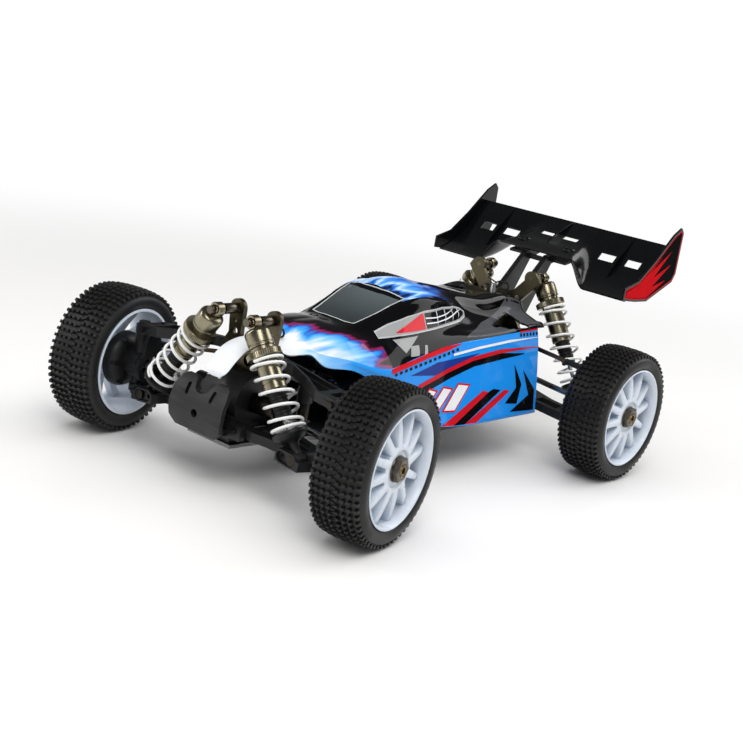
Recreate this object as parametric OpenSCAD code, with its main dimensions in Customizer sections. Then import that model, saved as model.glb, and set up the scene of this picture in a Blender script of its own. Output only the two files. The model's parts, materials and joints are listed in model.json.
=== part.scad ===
// Radio-controlled off-road buggy of about 1/8 scale: four-wheel drive, wishbones, painted shell, rear wing.
// X points forwards, Y to the left and Z up, in millimetres. Modules measure height from the axle line.

/* [Stance] */
// Distance between the front and the rear axle
wheelbase = 325; // [318:1:332]
// Distance between the front wheel centres
front_track = 264; // [262:1:270]
// Distance between the rear wheel centres
rear_track = 263; // [262:1:270]
// Angle to the left at which the front wheels stand
steer_rest = 10; // [-10:1:15]

/* [Wheels] */
// Outside diameter of the tyres
tyre_d = 114; // [110:0.5:117]
// Width of the tyres
tyre_w = 42; // [38:0.5:44]
// Height of the tread blocks
tread_h = 2.4; // [1:0.1:3]
// Tread blocks in one row around the tyre
tread_blocks = 44; // [24:1:48]
// Rows of tread blocks across the tyre
tread_rows = 5; // [3:2:7]
// Diameter over the rim's lips
rim_d = 85; // [82:0.5:88]
// Spokes of a wheel, standing in pairs
spokes = 14; // [10:2:18]
// Width of a spoke
spoke_w = 3.4; // [2:0.1:5]
// Width across the flats of the wheel hex and nut
hex_af = 17; // [14:0.5:19]
// Diameter of the wheel axles
axle_d = 8; // [6:0.5:9]

/* [Suspension] */
// Distance of the inner hinge pins from the middle
pin_y = 24; // [23:0.5:26]
// Sideways reach of the front arms, pin to pin
front_span = 73; // [71:0.5:74]
// Sideways reach of the rear arms, pin to pin
rear_span = 79; // [77:0.5:80]
// Fall of the arms from the inner to the outer pin
arm_drop = 7; // [4:0.5:9]
// Distance of the upper pins above the lower pins
upper_rise = 48; // [46:0.5:50]
// Diameter of the hinge pins
pin_d = 4; // [3:0.1:4.4]
// Thickness of the arms
arm_t = 7; // [6:0.1:8]
// Distance of the kingpins outside the outer hinge pins
king_out = 11; // [10.5:0.1:12]
// Diameter of the kingpins
king_d = 5; // [4:0.1:5.4]
// Length of the steering arms
steer_arm = 20; // [18:0.5:21]

/* [Shock absorbers] */
// Diameter of the shock body
shock_d = 16.6; // [15:0.1:16.8]
// Diameter of the piston rod
rod_d = 3.5; // [3:0.1:4]
// Diameter of the spring wire
wire_d = 2.2; // [1.6:0.1:2.4]
// Gap between the shock body and its spring
spring_play = 1.1; // [1:0.05:1.3]
// Turns of a front spring
front_coils = 7.5; // [6:0.5:8.5]
// Turns of a rear spring
rear_coils = 9.5; // [8:0.5:10.5]
// Distance of the top front eye from the middle
front_top_y = 18.4; // [17:0.1:20]
// Height of the top front eye over the axle line
front_top_z = 67.7; // [66:0.1:70]
// Distance of the top rear eye from the middle
rear_top_y = 28.5; // [27:0.1:31]
// Height of the top rear eye over the axle line
rear_top_z = 92; // [90:0.1:94]

/* [Chassis] */
// Thickness of the chassis plate
plate_t = 3; // [2.5:0.1:4]
// Depth of the chassis plate's underside below the axle line
chassis_drop = 24; // [23.5:0.1:26]
// Half width of the chassis plate
chassis_y = 54; // [50:0.5:56]
// Thickness of the shock towers
tower_t = 4; // [3:0.1:4.5]

/* [Drive] */
// Module of the gear teeth
gear_module = 1; // [0.9:0.05:1]
// Teeth of the centre gear
spur_teeth = 44; // [40:2:44]
// Teeth of the motor pinion
pinion_teeth = 14; // [10:2:16]
// Play between the gear teeth
backlash = 0.3; // [0.2:0.05:0.5]
// Diameter of the motor can
motor_d = 40; // [34:0.5:41]
// Length of the battery pack
battery_l = 138; // [110:1:140]

/* [Body shell] */
// Thickness of the moulded sheet
shell_t = 1.5; // [1.2:0.1:2]
// Full width of the shell at its lower edge
shell_w = 140; // [138:1:144]

/* [Wing] */
// Width over the end plates
wing_w = 210; // [200:1:214]
// Thickness of the wing blade and plates
wing_t = 2; // [1.6:0.1:2.4]

/* [Fits] */
// Radial play of pins and shafts that turn
run_fit = 0.1; // [0.06:0.01:0.15]
// Gap beside pieces that swing past each other
side_gap = 0.5; // [0.3:0.05:0.7]
// Gap around pieces that are pressed or screwed together
seat = 0.05; // [0.03:0.01:0.08]
// Radial play of the shock's lower eye on its screw
eye_play = 0.8; // [0.7:0.05:1]

/* [Hidden] */
$fn = 48;
nylon = "#1b1b1d";
metal = "#77746a";
steel = "#a9a9ab";
rubber = "#161616";
white = "#f2f2ee";

axle_z = tyre_d / 2;
fx = wheelbase / 2;
rx = -wheelbase / 2;
low_z = -10;
low_out_z = low_z - arm_drop;
up_z = low_z + upper_rise;
up_out_z = up_z - arm_drop;
pin_r = pin_d / 2;
front_pin_out = pin_y + front_span;
rear_pin_out = pin_y + rear_span;
king_y = front_pin_out + king_out;
front_offset = front_track / 2 - king_y;
joint_out = 9;
rear_joint_y = rear_pin_out + joint_out;
front_len = norm([front_span, arm_drop]);
rear_len = norm([rear_span, arm_drop]);
diff_z = arm_drop;
cup_in = 18;
front_cup_y = king_y - front_span;
rear_cup_y = rear_joint_y - rear_span;

// Shock absorbers: plane, eyes and lengths
stud_r = 2;
front_shock_x = fx + 14.5;
rear_shock_x = rx - 14.5;
spring_d = shock_d + wire_d + 2 * spring_play;
front_eye = [front_len - 18.2, 1.3];
rear_eye = [rear_len - 9.8, 9.4];
front_top = [front_top_y, front_top_z];
rear_top = [rear_top_y, rear_top_z];
front_low = on_arm(front_span, front_eye);
rear_low = on_arm(rear_span, rear_eye);
front_shock_len = norm(front_low - front_top);
rear_shock_len = norm(rear_low - rear_top);
eye_w = 10;
low_eye_w = 7;
collar_z = 27;
cup_up = 20.7;
spring_gap = 0.15;
front_stroke = 14.5;
rear_stroke = 20.5;

// Steering: bellcrank posts behind the front gearbox, servo on the right
post_x = fx - 44.5;
post_y = 26;
post_r = 3;
link_z = 12.4;
link_t = 3.6;
ball_r = 3;
ball_play = 0.15;
inner_ball_y = king_y - front_span;
inner_ball_z = link_z + link_t + 4.2;
outer_ball_z = inner_ball_z - arm_drop;
servo_x = post_x - 42;
servo_y = -40;
rod_z_low = 22.5;
crank_pin_r = 1.5;
throw = steer_arm * [-cos(steer_rest), -sin(steer_rest)];

// Chassis and drive line
floor_z = plate_t - chassis_drop;
drive_z = 3.5;
spur_x = -15;
spur_r = gear_module * spur_teeth / 2;
pinion_r = gear_module * pinion_teeth / 2;
motor_y = -(spur_r + pinion_r);
front_tower_x = fx - 9;
rear_tower_x = rx + 4.5;
front_post_x = fx - 22.5;
rear_post_x = rear_tower_x + 12;
drum_r = 20;

// The frame's origin lies on the ground under the middle of the part's box
wing_tail = 281.5;
nose = fx + front_offset * sin(abs(steer_rest)) + axle_z * cos(steer_rest) + 3;
frame_x = (wing_tail - nose) / 2;

function slope(span) = atan(arm_drop / span);
function on_arm(span, p) = [
    pin_y + p.x * cos(slope(span)) + p.y * sin(slope(span)),
    low_z - p.x * sin(slope(span)) + p.y * cos(slope(span))
];
function lean(top, low) = atan2(low.x - top.x, top.y - low.y);
function side_name(s) = s > 0 ? "left" : "right";
function unit(v) = v / norm(v);

// Smooth curve through a list of points or of rows of points
function pick(list, i) = list[max(0, min(len(list) - 1, i))];
function blend(a, b, c, d, t) =
    0.5 * (2 * b + (c - a) * t + (2 * a - 5 * b + 4 * c - d) * t * t + (3 * b - a - 3 * c + d) * t * t * t);
function smooth(list, steps) = [
    for (i = [0:len(list) - 2])
        for (k = [0:steps - 1])
            blend(pick(list, i - 1), list[i], list[i + 1], pick(list, i + 2), k / steps),
    list[len(list) - 1]
];

// Basic solids and placing

module car() translate([frame_x, 0, axle_z]) children();

module side(s) mirror([0, s < 0 ? 1 : 0, 0]) children();

module rod_x(r, x0, x1, y = 0, z = 0) translate([x0, y, z]) rotate([0, 90, 0]) cylinder(r = r, h = x1 - x0);

module rod_y(r, y0, y1, x = 0, z = 0) translate([x, y0, z]) rotate([-90, 0, 0]) cylinder(r = r, h = y1 - y0);

module rod_z(r, z0, z1, x = 0, y = 0) translate([x, y, z0]) cylinder(r = r, h = z1 - z0);

module block(x, y, z) translate([x[0], y[0], z[0]]) cube([x[1] - x[0], y[1] - y[0], z[1] - z[0]]);

// Flat outlines drawn in (Y, Z), (X, Z) or (X, Y) and given their thickness
module across_x(x0, x1) translate([x0, 0, 0]) rotate([90, 0, 90]) linear_extrude(x1 - x0) children();

module across_y(y0, y1) translate([0, y1, 0]) rotate([90, 0, 0]) linear_extrude(y1 - y0) children();

module across_z(z0, z1) translate([0, 0, z0]) linear_extrude(z1 - z0) children();

module bar(a, b, w) {
    translate(a) rotate(atan2(b.y - a.y, b.x - a.x)) translate([0, -w / 2]) square([norm(b - a), w]);
    translate(a) circle(d = w);
    translate(b) circle(d = w);
}

module stick(a, b, r) {
    v = b - a;
    translate(a) rotate([0, acos(v.z / norm(v)), atan2(v.y, v.x)]) cylinder(r = r, h = norm(v));
}

// Closed sheet of even thickness under a grid of points
module sheet(grid, t) {
    m = len(grid);
    n = len(grid[0]);
    under = [
        for (i = [0:m - 1]) [
            for (j = [0:n - 1])
                let (
                    u = pick(grid, i + 1)[j] - pick(grid, i - 1)[j],
                    v = pick(grid[i], j + 1) - pick(grid[i], j - 1)
                )
                grid[i][j] + t * unit(cross(v, u))
        ]
    ];
    points = [for (layer = [grid, under]) for (row = layer) each row];
    k = m * n;
    quads = concat(
        [for (i = [0:m - 2]) for (j = [0:n - 2]) let (a = i * n + j) [a, a + 1, a + n + 1, a + n]],
        [for (i = [0:m - 2]) for (j = [0:n - 2]) let (a = k + i * n + j) [a, a + n, a + n + 1, a + 1]],
        [for (i = [0:m - 2]) for (e = [[0, 0], [n - 1, 1]])
            let (a = i * n + e[0], b = a + n) e[1] == 0 ? [a, b, b + k, a + k] : [a, a + k, b + k, b]],
        [for (j = [0:n - 2]) for (e = [[0, 0], [m - 1, 1]])
            let (a = e[0] * n + j, b = a + 1) e[1] == 0 ? [a, a + k, b + k, b] : [a, b, b + k, a + k]]
    );
    polyhedron(points, [for (q = quads) each [[q[0], q[1], q[2]], [q[0], q[2], q[3]]]]);
}

// Wheels, in their own frame: Y is the axle and points outwards

module on_front_hub(s) {
    translate([fx, s * king_y, 0]) rotate([0, 0, steer_rest]) side(s) children();
}

module on_front_wheel(s) on_front_hub(s) translate([0, front_offset, 0]) children();

module on_rear_wheel(s) side(s) translate([rx, rear_track / 2, 0]) children();

module turned() rotate([-90, 0, 0]) rotate_extrude($fn = 96) children();

rim_r = rim_d / 2;
bead_r = rim_r - 2;
carcass_r = axle_z - tread_h;
bulge = tyre_w / 2;

function tyre_side(out, grow) = [
    [bead_r + seat, out * (bulge - 2.2 + 1.2 * grow)],
    [rim_r + 0.3, out * (bulge - 2.2 + 1.2 * grow)],
    [rim_r + 1.5, out * (bulge - 0.6 + grow)],
    [rim_r + 5.5, out * (bulge + grow)],
    [carcass_r - 3.5 + grow, out * (bulge - 1.2 + grow)],
    [carcass_r - 0.8 + grow, out * (bulge - 3.6 + grow)],
    [carcass_r + grow, out * (bulge - 6.5)]
];

function back(list) = [for (i = [len(list) - 1:-1:0]) list[i]];

module tyre() {
    wall = -2.6;
    row_gap = (tyre_w - 9) / (tread_rows - 1);
    color(rubber) union() {
        turned() difference() {
            polygon(concat(tyre_side(-1, 0), back(tyre_side(1, 0))));
            polygon(concat(
                [[bead_r - 1, -bulge + 5]],
                tyre_side(-1, wall), back(tyre_side(1, wall)), [[bead_r - 1, bulge - 5]]
            ));
        }
        intersection() {
            turned() for (row = [0:tread_rows - 1])
                translate([
                    carcass_r - 0.6 - 0.5 * abs(row - (tread_rows - 1) / 2),
                    row * row_gap - tyre_w / 2 + 3
                ])
                    square([tread_h + 0.6, 3]);
            rotate([90, 0, 0]) linear_extrude(tyre_w, center = true)
                for (i = [0:tread_blocks - 1])
                    rotate(i * 360 / tread_blocks) translate([carcass_r + 1, 0])
                        square([8, 0.55 * 2 * PI * axle_z / tread_blocks], center = true);
        }
    }
}

hub_in = -4;
hub_out = 8;
axle_r = axle_d / 2;

module wheel(axle_in) {
    spoke_z0 = 1;
    color(white) difference() {
        union() {
            turned() polygon([
                [bead_r - 3, -bulge + 2.4], [bead_r - 2, -bulge + 1], [rim_r, -bulge + 1],
                [rim_r, -bulge + 1.9],
                [bead_r, -bulge + 1.9], [bead_r, bulge - 1.9], [rim_r, bulge - 1.9], [rim_r, bulge - 1],
                [bead_r - 2, bulge - 1], [bead_r - 4, bulge - 6], [bead_r - 2, bulge - 12], [bead_r - 1.6, 0],
                [bead_r - 1.6, -bulge + 6]
            ]);
            rod_y(14, hub_in, hub_out);
            for (i = [0:spokes / 2 - 1])
                for (e = [-1, 1])
                    rotate([0, i * 720 / spokes + e * 150 / spokes, 0])
                        translate([0, spoke_z0, 0])
                            block([11, bead_r - 3], [0, 6], [-spoke_w / 2, spoke_w / 2]);
        }
        rod_y(axle_r + seat, hub_in - 1, hub_out + 1);
        rotate([-90, 0, 0]) translate([0, 0, hub_in - 1])
            cylinder(d = (hex_af + 2 * seat) / cos(30), h = 1 - seat - spoke_z0 - hub_in + 2, $fn = 6);
        for (i = [0:spokes / 2 - 1])
            rotate([0, i * 720 / spokes, 0]) rod_y(1.6, hub_in - 1, hub_out + 1, 11.5);
    }
    color(steel) {
        rod_y(axle_r, axle_in, hub_out + 9);
        rotate([-90, 0, 0]) translate([0, 0, hub_in - 4])
            cylinder(d = hex_af / cos(30), h = 5.5, $fn = 6);
    }
    color(metal) difference() {
        rotate([-90, 0, 0]) translate([0, 0, hub_out + seat]) union() {
            cylinder(d = hex_af / cos(30), h = 6, $fn = 6);
            cylinder(r = 11.5, h = 1.6);
        }
        rod_y(axle_r + seat, hub_out - 1, hub_out + 10);
    }
}

// Shock absorbers, in their own frame: the top eye is the origin and the rod points down

module on_front_shock(s) side(s) translate([front_shock_x, front_top.x, front_top.y])
    rotate([lean(front_top, front_low), 0, 0]) children();

module on_rear_shock(s) side(s) translate([rear_shock_x, rear_top.x, rear_top.y])
    rotate([lean(rear_top, rear_low), 0, 0]) children();

module shock_body(length, stroke) {
    end = length - stroke - 33.8;
    r = shock_d / 2;
    color("#8b8678") difference() {
        union() {
            rod_x(5.5, -eye_w / 2, eye_w / 2);
            rod_z(4.8, -10, 0);
            rod_z(r + 1.2, -18, -8);
            translate([0, 0, -8]) cylinder(r1 = r + 1.2, r2 = 5.5, h = 2);
            rod_z(r, -end, -18);
            rod_z(spring_d / 2 + 2, -collar_z, -collar_z + 5);
            rod_z(r - 1.2, -end - 4, -end);
        }
        rod_x(stud_r + run_fit, -eye_w, eye_w);
        rod_z(r - 1.6, -end + 1.5, -20);
        rod_z(rod_d / 2 + run_fit, -end - 5, -end + 2);
    }
    color(rubber) difference() {
        translate([0, 0, -end - 17]) cylinder(r1 = 4, r2 = r - 1.6, h = 17 - 4 - seat);
        rod_z(rod_d / 2 + 0.4, -end - 18, -end);
    }
}

module shock_rod(length, stroke) {
    cup = length - cup_up;
    top = stroke + 21.8;
    color(steel) {
        rod_z(rod_d / 2, -length + 8, -top);
        rod_z(shock_d / 2 - 1.9, -top - 4, -top - 1);
    }
    color(nylon) difference() {
        union() {
            rotate_extrude() polygon([
                [8, -cup], [spring_d / 2 + 1.1, -cup], [spring_d / 2 + 1.1, -cup - 4], [5, -cup - 8],
                [3.2, -length + 8], [3.2, -length + 2], [0, -length + 2], [0, -cup - 5], [7, -cup - 5]
            ]);
            rod_x(5, -low_eye_w / 2, low_eye_w / 2, 0, -length);
        }
        rod_x(stud_r + eye_play, -low_eye_w, low_eye_w, 0, -length);
        rod_z(rod_d / 2 + seat, -length + 8 - seat, -20);
    }
}

// Coil spring: one tube along a helix with close end turns
curl_rings = 8;
curl_sides = 6;
end_pitch = wire_d + 0.7;

function coil_drop(turn, turns, length) =
    let (pitch = (length - 2 * end_pitch) / (turns - 2))
    turn < 1 ? turn * end_pitch :
    turn > turns - 1 ? length - (turns - turn) * end_pitch : end_pitch + (turn - 1) * pitch;

function coil_path(turns, length) = [
    for (i = [0:curl_rings * turns])
        let (a = i * 360 / curl_rings)
        [spring_d / 2 * cos(a), spring_d / 2 * sin(a), -coil_drop(i / curl_rings, turns, length)]
];

// Closed tube of flat sides along a path; each point of the path has a direction square to it
module wire(path, across, r) {
    n = len(path);
    points = [
        for (i = [0:n - 1])
            let (t = unit(pick(path, i + 1) - pick(path, i - 1)), up = cross(t, across[i]))
            for (k = [0:curl_sides - 1])
                path[i] + r * (cos(k * 360 / curl_sides) * across[i] + sin(k * 360 / curl_sides) * up)
    ];
    rings = [
        for (i = [0:n - 2])
            for (k = [0:curl_sides - 1])
                let (a = i * curl_sides + k, b = i * curl_sides + (k + 1) % curl_sides)
                each [[a, b, b + curl_sides], [a, b + curl_sides, a + curl_sides]]
    ];
    last = (n - 1) * curl_sides;
    caps = [for (k = [1:curl_sides - 2]) each [[0, k + 1, k], [last, last + k, last + k + 1]]];
    polyhedron(points, concat(rings, caps));
}

module spring(turns, length) {
    top = collar_z + spring_gap;
    bottom = length - cup_up - spring_gap;
    path = coil_path(turns, bottom - top - wire_d);
    color(white) translate([0, 0, -top - wire_d / 2])
        wire(path, [for (p = path) unit([p.x, p.y, 0])], wire_d / 2);
    gaps = [for (i = [0:len(path) - 1 - curl_rings]) norm(path[i + curl_rings] - path[i]) - wire_d];
    echo(least_gap_between_turns = min(gaps));
}

// Front suspension

module on_front_arm(s, height) side(s) translate([fx, pin_y, height])
    rotate([-slope(front_span), 0, 0]) children();

module on_rear_arm(s, height) side(s) translate([rx, pin_y, height])
    rotate([-slope(rear_span), 0, 0]) children();

pin_boss = pin_r + 2.6;
lug_w = 5.3;
fork_in = lug_w + side_gap;
fork_out = 11.5;
arm_in = 9;
arm_wide = 18.5;

// Bores for the two hinge pins of an arm
module arm_bores(length) {
    rod_x(pin_r + run_fit, -30, 30);
    rod_x(pin_r + run_fit, -30, 30, length);
}

module eye_screw(p, x0, x1, head) {
    rod_x(stud_r, min(x0, x1), max(x0, x1), p.x, p.y);
    rod_x(3.6, min(x1, head), max(x1, head), p.x, p.y);
}

module front_lower_arm() {
    eye_face = front_shock_x - fx - low_eye_w / 2 - side_gap;
    wall_in = front_shock_x - fx + low_eye_w / 2 + side_gap;
    wall_out = wall_in + 5;
    recess = wall_out - 2.4;
    spare = front_eye - [9, 0];
    color(nylon) difference() {
        union() {
            across_z(-arm_t / 2, arm_t / 2) difference() {
                polygon([
                    [-arm_wide, 0], [-arm_wide, 16], [-fork_out - 1, front_len - 18], [-fork_out, front_len],
                    [fork_out, front_len], [eye_face, front_len - 12], [eye_face, 44], [arm_wide - 5, 24],
                    [arm_wide, 12], [arm_wide, 0]
                ]);
                translate([-arm_in, -8]) square([2 * arm_in, 14]);
                polygon([[-9, 12], [9, 12], [2, 24], [-2, 24]]);
                polygon([[-11, 20], [-4, 30], [-4, 44], [-9, 44]]);
                polygon([[11, 20], [4, 30], [4, 42], [8, 42]]);
            }
            for (x = [-arm_wide, arm_in]) rod_x(pin_boss, x, x + arm_wide - arm_in);
            for (x = [-fork_out, fork_in]) rod_x(pin_boss, x, x + fork_out - fork_in, front_len);
            rod_x(5, 2, eye_face, front_eye.x, front_eye.y);
            block([-1.2, 1], [30, front_len - 10], [0, arm_t / 2 + 1.6]);
            across_z(-arm_t / 2, arm_t / 2) polygon([
                [eye_face - 3, spare.x - 9], [wall_in, spare.x - 7], [wall_out, spare.x - 5],
                [wall_out, front_eye.x + 8], [eye_face - 3, front_eye.x + 12],
                [eye_face - 3, front_eye.x + 7],
                [wall_in, front_eye.x + 7], [wall_in, spare.x - 3], [eye_face - 3, spare.x - 3]
            ]);
            across_x(wall_in, wall_out) bar(front_eye, spare, 10.4);
        }
        translate([-fork_in, front_len - 8, -10]) cube([2 * fork_in, 20, 20]);
        arm_bores(front_len);
        rod_x(stud_r + seat, -6, wall_out + 1, front_eye.x, front_eye.y);
        rod_x(stud_r, wall_in - 1, wall_out + 1, spare.x, spare.y);
        across_x(recess, wall_out + 1) bar(front_eye, spare, 8);
    }
    color(steel) eye_screw(front_eye, -5, recess + seat, wall_out - 0.4);
}

module front_upper_arm() {
    module outline(x0, x1) polygon([
        [x1, 0], [x1, 22], [-fork_out, front_len - 24], [-fork_out, front_len], [fork_out, front_len],
        [fork_out, front_len - 16], [0, 38], [x0, 16], [x0, 0]
    ]);
    x0 = front_tower_x - fx - side_gap;
    x1 = x0 - 5;
    color(nylon) difference() {
        union() {
            across_z(-arm_t / 2, arm_t / 2 + 1) difference() {
                outline(x0, x1);
                polygon([[-8, 34], [-4, 38], [5, front_len - 18], [-7, front_len - 18]]);
            }
            rod_x(pin_boss, x1, x0);
            for (x = [-fork_out, fork_in]) rod_x(pin_boss, x, x + fork_out - fork_in, front_len);
        }
        translate([-fork_in, front_len - 8, -10]) cube([2 * fork_in, 20, 20]);
        arm_bores(front_len);
        across_z(arm_t / 2 - 2, arm_t) difference() {
            offset(delta = -1.8) outline(x0, x1);
            translate([-20, front_len - 13]) square([40, 20]);
            translate([-40, -10]) square([80, 16]);
        }
    }
}

// C-shaped steering hub with its kingpins and outer hinge pins
horn_low = -21.5;
horn_top = 25.5;
horn_t = 6;

module front_hub() {
    y0 = front_pin_out - 3;
    king_r = king_d / 2;
    color(nylon) translate([fx, 0, 0]) difference() {
        union() {
            across_y(y0, y0 + 4.5) difference() {
                union() {
                    circle(r = 13);
                    polygon([
                        [-5.2, low_out_z], [5.2, low_out_z], [5.2, -11], [8, -5], [8, 18], [5.2, 25],
                        [5.2, up_out_z],
                        [-5.2, up_out_z], [-5.2, 25], [-8, 18], [-8, -5], [-5.2, -11]
                    ]);
                }
                circle(r = 9.2);
            }
            for (z = [low_out_z, up_out_z]) rod_x(pin_boss, -lug_w, lug_w, front_pin_out, z);
            for (z = [horn_low, horn_top]) across_z(z, z + horn_t) {
                translate([-5.2, y0]) square([10.4, king_y - y0]);
                translate([0, king_y]) circle(r = 6.2);
            }
        }
        for (z = [low_out_z, up_out_z]) rod_x(pin_r + seat, -20, 20, front_pin_out, z);
        rod_z(king_r + seat, horn_low - 1, horn_top + horn_t + 1, 0, king_y);
    }
    color(steel) translate([fx, 0, 0]) {
        for (z = [low_out_z, up_out_z]) rod_x(pin_r, -fork_out - 2, fork_out + 2, front_pin_out, z);
        rod_z(king_r, horn_low, horn_low + horn_t + 5, 0, king_y);
        rod_z(4.5, horn_low - 2.5, horn_low - seat, 0, king_y);
        rod_z(king_r, horn_low - 1, horn_low + 1, 0, king_y);
        rod_z(king_r, horn_top - 5, horn_top + horn_t + 1, 0, king_y);
        rod_z(4.5, horn_top + horn_t + seat, horn_top + horn_t + 2.5, 0, king_y);
    }
}

bearing_r = 8;

module bearing(y0, y1, z = 0) color(steel) difference() {
    rod_y(bearing_r - seat, y0, y1, 0, z);
    rod_y(axle_r + run_fit, y0 - 1, y1 + 1, 0, z);
}

// Steering knuckle, with the kingpin as its origin
module knuckle() {
    lug_low = horn_low + horn_t + side_gap;
    lug_top = horn_top - side_gap;
    arm_z = outer_ball_z - 8;
    color(nylon) difference() {
        union() {
            rod_y(11, -4, 10);
            rod_z(5.6, lug_low, lug_top);
            across_z(arm_z, arm_z + 4) bar([0, 0], [-steer_arm, 0], 8);
            block([-12, 0], [-3, 3], [0, arm_z + 1]);
        }
        rod_z(king_d / 2 + run_fit, lug_low - 1, lug_low + 5);
        rod_z(king_d / 2 + run_fit, lug_top - 5.5, lug_top + 1);
        rod_y(6.6, -7, 2);
        rod_y(axle_r + 0.8, 0, 11);
        rod_y(bearing_r, 4, 11);
    }
    bearing(4 + seat, 9.5);
    color(steel) translate([-steer_arm, 0, 0]) {
        rod_z(1.4, arm_z + 4 + seat, outer_ball_z);
        translate([0, 0, outer_ball_z]) sphere(r = ball_r);
        rod_z(2.6, arm_z + 4 + seat, arm_z + 5);
    }
}

module tie_rod(s) {
    a = [post_x + throw.x, s * inner_ball_y + throw.y, inner_ball_z];
    b = [fx + throw.x, s * king_y + throw.y, outer_ball_z];
    v = unit(b - a);
    tilt = s * -slope(front_span);
    color(nylon) difference() {
        union() {
            for (p = [a, b]) translate(p) rotate([tilt, 0, 0]) rod_z(4.8, -2.2, 2.2);
            stick(a + 4.4 * v, a + 16 * v, 2.5);
            stick(b - 16 * v, b - 4.4 * v, 2.5);
        }
        for (p = [a, b]) translate(p) sphere(r = ball_r + ball_play);
        stick(a + 8 * v, b - 8 * v, 1.75 + seat);
    }
    color("#6b5a49") stick(a + (8 + seat) * v, b - (8 + seat) * v, 1.75);
}

module drive_shaft(x, y0, y1) {
    a = [x, y0, diff_z];
    b = [x, y1, diff_z - arm_drop];
    color(steel) {
        for (p = [a, b]) translate(p) sphere(r = 4.5);
        stick(a, b, 2.5);
    }
}

// Rear suspension

link_x = 12.5;

module rear_lower_arm() {
    eye_face = rear_shock_x - rx + low_eye_w / 2 + side_gap;
    screw_end = rear_shock_x - rx - low_eye_w / 2 - 0.3;
    color(nylon) difference() {
        union() {
            across_z(-arm_t / 2, arm_t / 2) difference() {
                polygon([
                    [-arm_wide, 0], [-arm_wide, 14], [eye_face, 42], [eye_face, rear_len],
                    [fork_out + 3, rear_len],
                    [fork_out + 3, 40], [arm_wide, 16], [arm_wide, 0]
                ]);
                translate([-arm_in, -8]) square([2 * arm_in, 14]);
                polygon([[-10, 12], [12, 12], [8, 30], [-4, 30]]);
                polygon([[-4, 36], [10, 36], [9, 58], [-4, 58]]);
            }
            for (x = [-arm_wide, arm_in]) rod_x(pin_boss, x, x + arm_wide - arm_in);
            rod_x(pin_boss, eye_face, -fork_in, rear_len);
            rod_x(pin_boss, fork_in, fork_out + 3, rear_len);
            across_x(eye_face, eye_face + 4) {
                bar(rear_eye, [rear_eye.x, 0], 9.5);
            }
        }
        translate([-fork_in, rear_len - 8, -10]) cube([2 * fork_in, 20, 20]);
        arm_bores(rear_len);
        rod_x(stud_r + seat, eye_face - 1, eye_face + 6, rear_eye.x, rear_eye.y);
    }
    color(steel) eye_screw(rear_eye, eye_face + 4.5, screw_end, screw_end - 3);
}

module rear_upper_link() {
    a = [rx + link_x, pin_y, up_z];
    b = [rx + link_x, rear_pin_out, up_out_z];
    v = unit(b - a);
    color(nylon) difference() {
        union() {
            for (p = [a, b]) translate(p) rotate([0, 90, 0]) rod_z(4.8, -2.2, 2.2);
            stick(a + 4.4 * v, a + 18 * v, 2.6);
            stick(b - 18 * v, b - 4.4 * v, 2.6);
        }
        for (p = [a, b]) translate(p) rotate([0, 90, 0]) sphere(r = ball_r + ball_play);
        stick(a + 8 * v, b - 8 * v, 1.9 + seat);
    }
    color("#6b5a49") stick(a + (8 + seat) * v, b - (8 + seat) * v, 1.9);
}

// Ball on a stud that points along X
module ball_stud(x0, x1, y, z) {
    rod_x(1.4, min(x0, x1), max(x0, x1), y, z);
    translate([x1, y, z]) sphere(r = ball_r);
}

module rear_hub() {
    y0 = rear_pin_out - 2;
    y1 = rear_joint_y + 9;
    color(nylon) translate([rx, 0, 0]) difference() {
        union() {
            rod_y(10.4, y0, y1);
            across_y(y0, y0 + 8) polygon([
                [-5.2, low_out_z], [5.2, low_out_z], [5.2, -11], [9, -4], [9, 6], [7, up_out_z + 4],
                [-4, up_out_z + 4],
                [-9, 6], [-9, -4], [-5.2, -11]
            ]);
            rod_x(pin_boss, -lug_w, lug_w, rear_pin_out, low_out_z);
        }
        rod_x(pin_r + seat, -20, 20, rear_pin_out, low_out_z);
        rod_x(1.4 + seat, -1, 20, rear_pin_out, up_out_z);
        rod_y(6.6, y0 - 1, rear_joint_y + 1);
        rod_y(axle_r + 0.8, y0, y1 + 1);
        rod_y(bearing_r, y1 - 5.5, y1 + 1);
    }
    translate([rx, 0, 0]) {
        bearing(y1 - 5.5 + seat, y1 - 0.5);
        color(steel) rod_x(pin_r, -9, fork_out + 4.5, rear_pin_out, low_out_z);
        color(steel) ball_stud(0, link_x, rear_pin_out, up_out_z);
    }
}

// Gearboxes, towers and pins

module drive_cup(y1, z) color(steel) difference() {
    rod_y(7.4, cup_in + seat, y1 + 6, 0, z);
    rod_y(5.5, y1 - 6, y1 + 7, 0, z);
}

// Housing in its own frame: the axle is the origin and the input shaft points to +X
module gearbox(cup_y) {
    color(nylon) difference() {
        union() {
            rod_y(drum_r, -cup_in, cup_in, 0, diff_z);
            block([-21.5, 21.5], [-cup_in, cup_in], [floor_z + seat, -2]);
            rod_x(9.5, 0, 29, 0, drive_z);
            for (x = [-24, arm_wide + side_gap]) across_x(x, x + 24 - arm_wide - side_gap) {
                translate([-pin_y - 6, low_z - 6]) square([2 * pin_y + 12, 11]);
            }
        }
        rod_x(pin_r + seat, -40, 40, pin_y, low_z);
        rod_x(pin_r + seat, -40, 40, -pin_y, low_z);
        rod_x(5, 24, 30, 0, drive_z);
    }
    for (s = [1, -1]) side(s) drive_cup(cup_y, diff_z);
}

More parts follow.
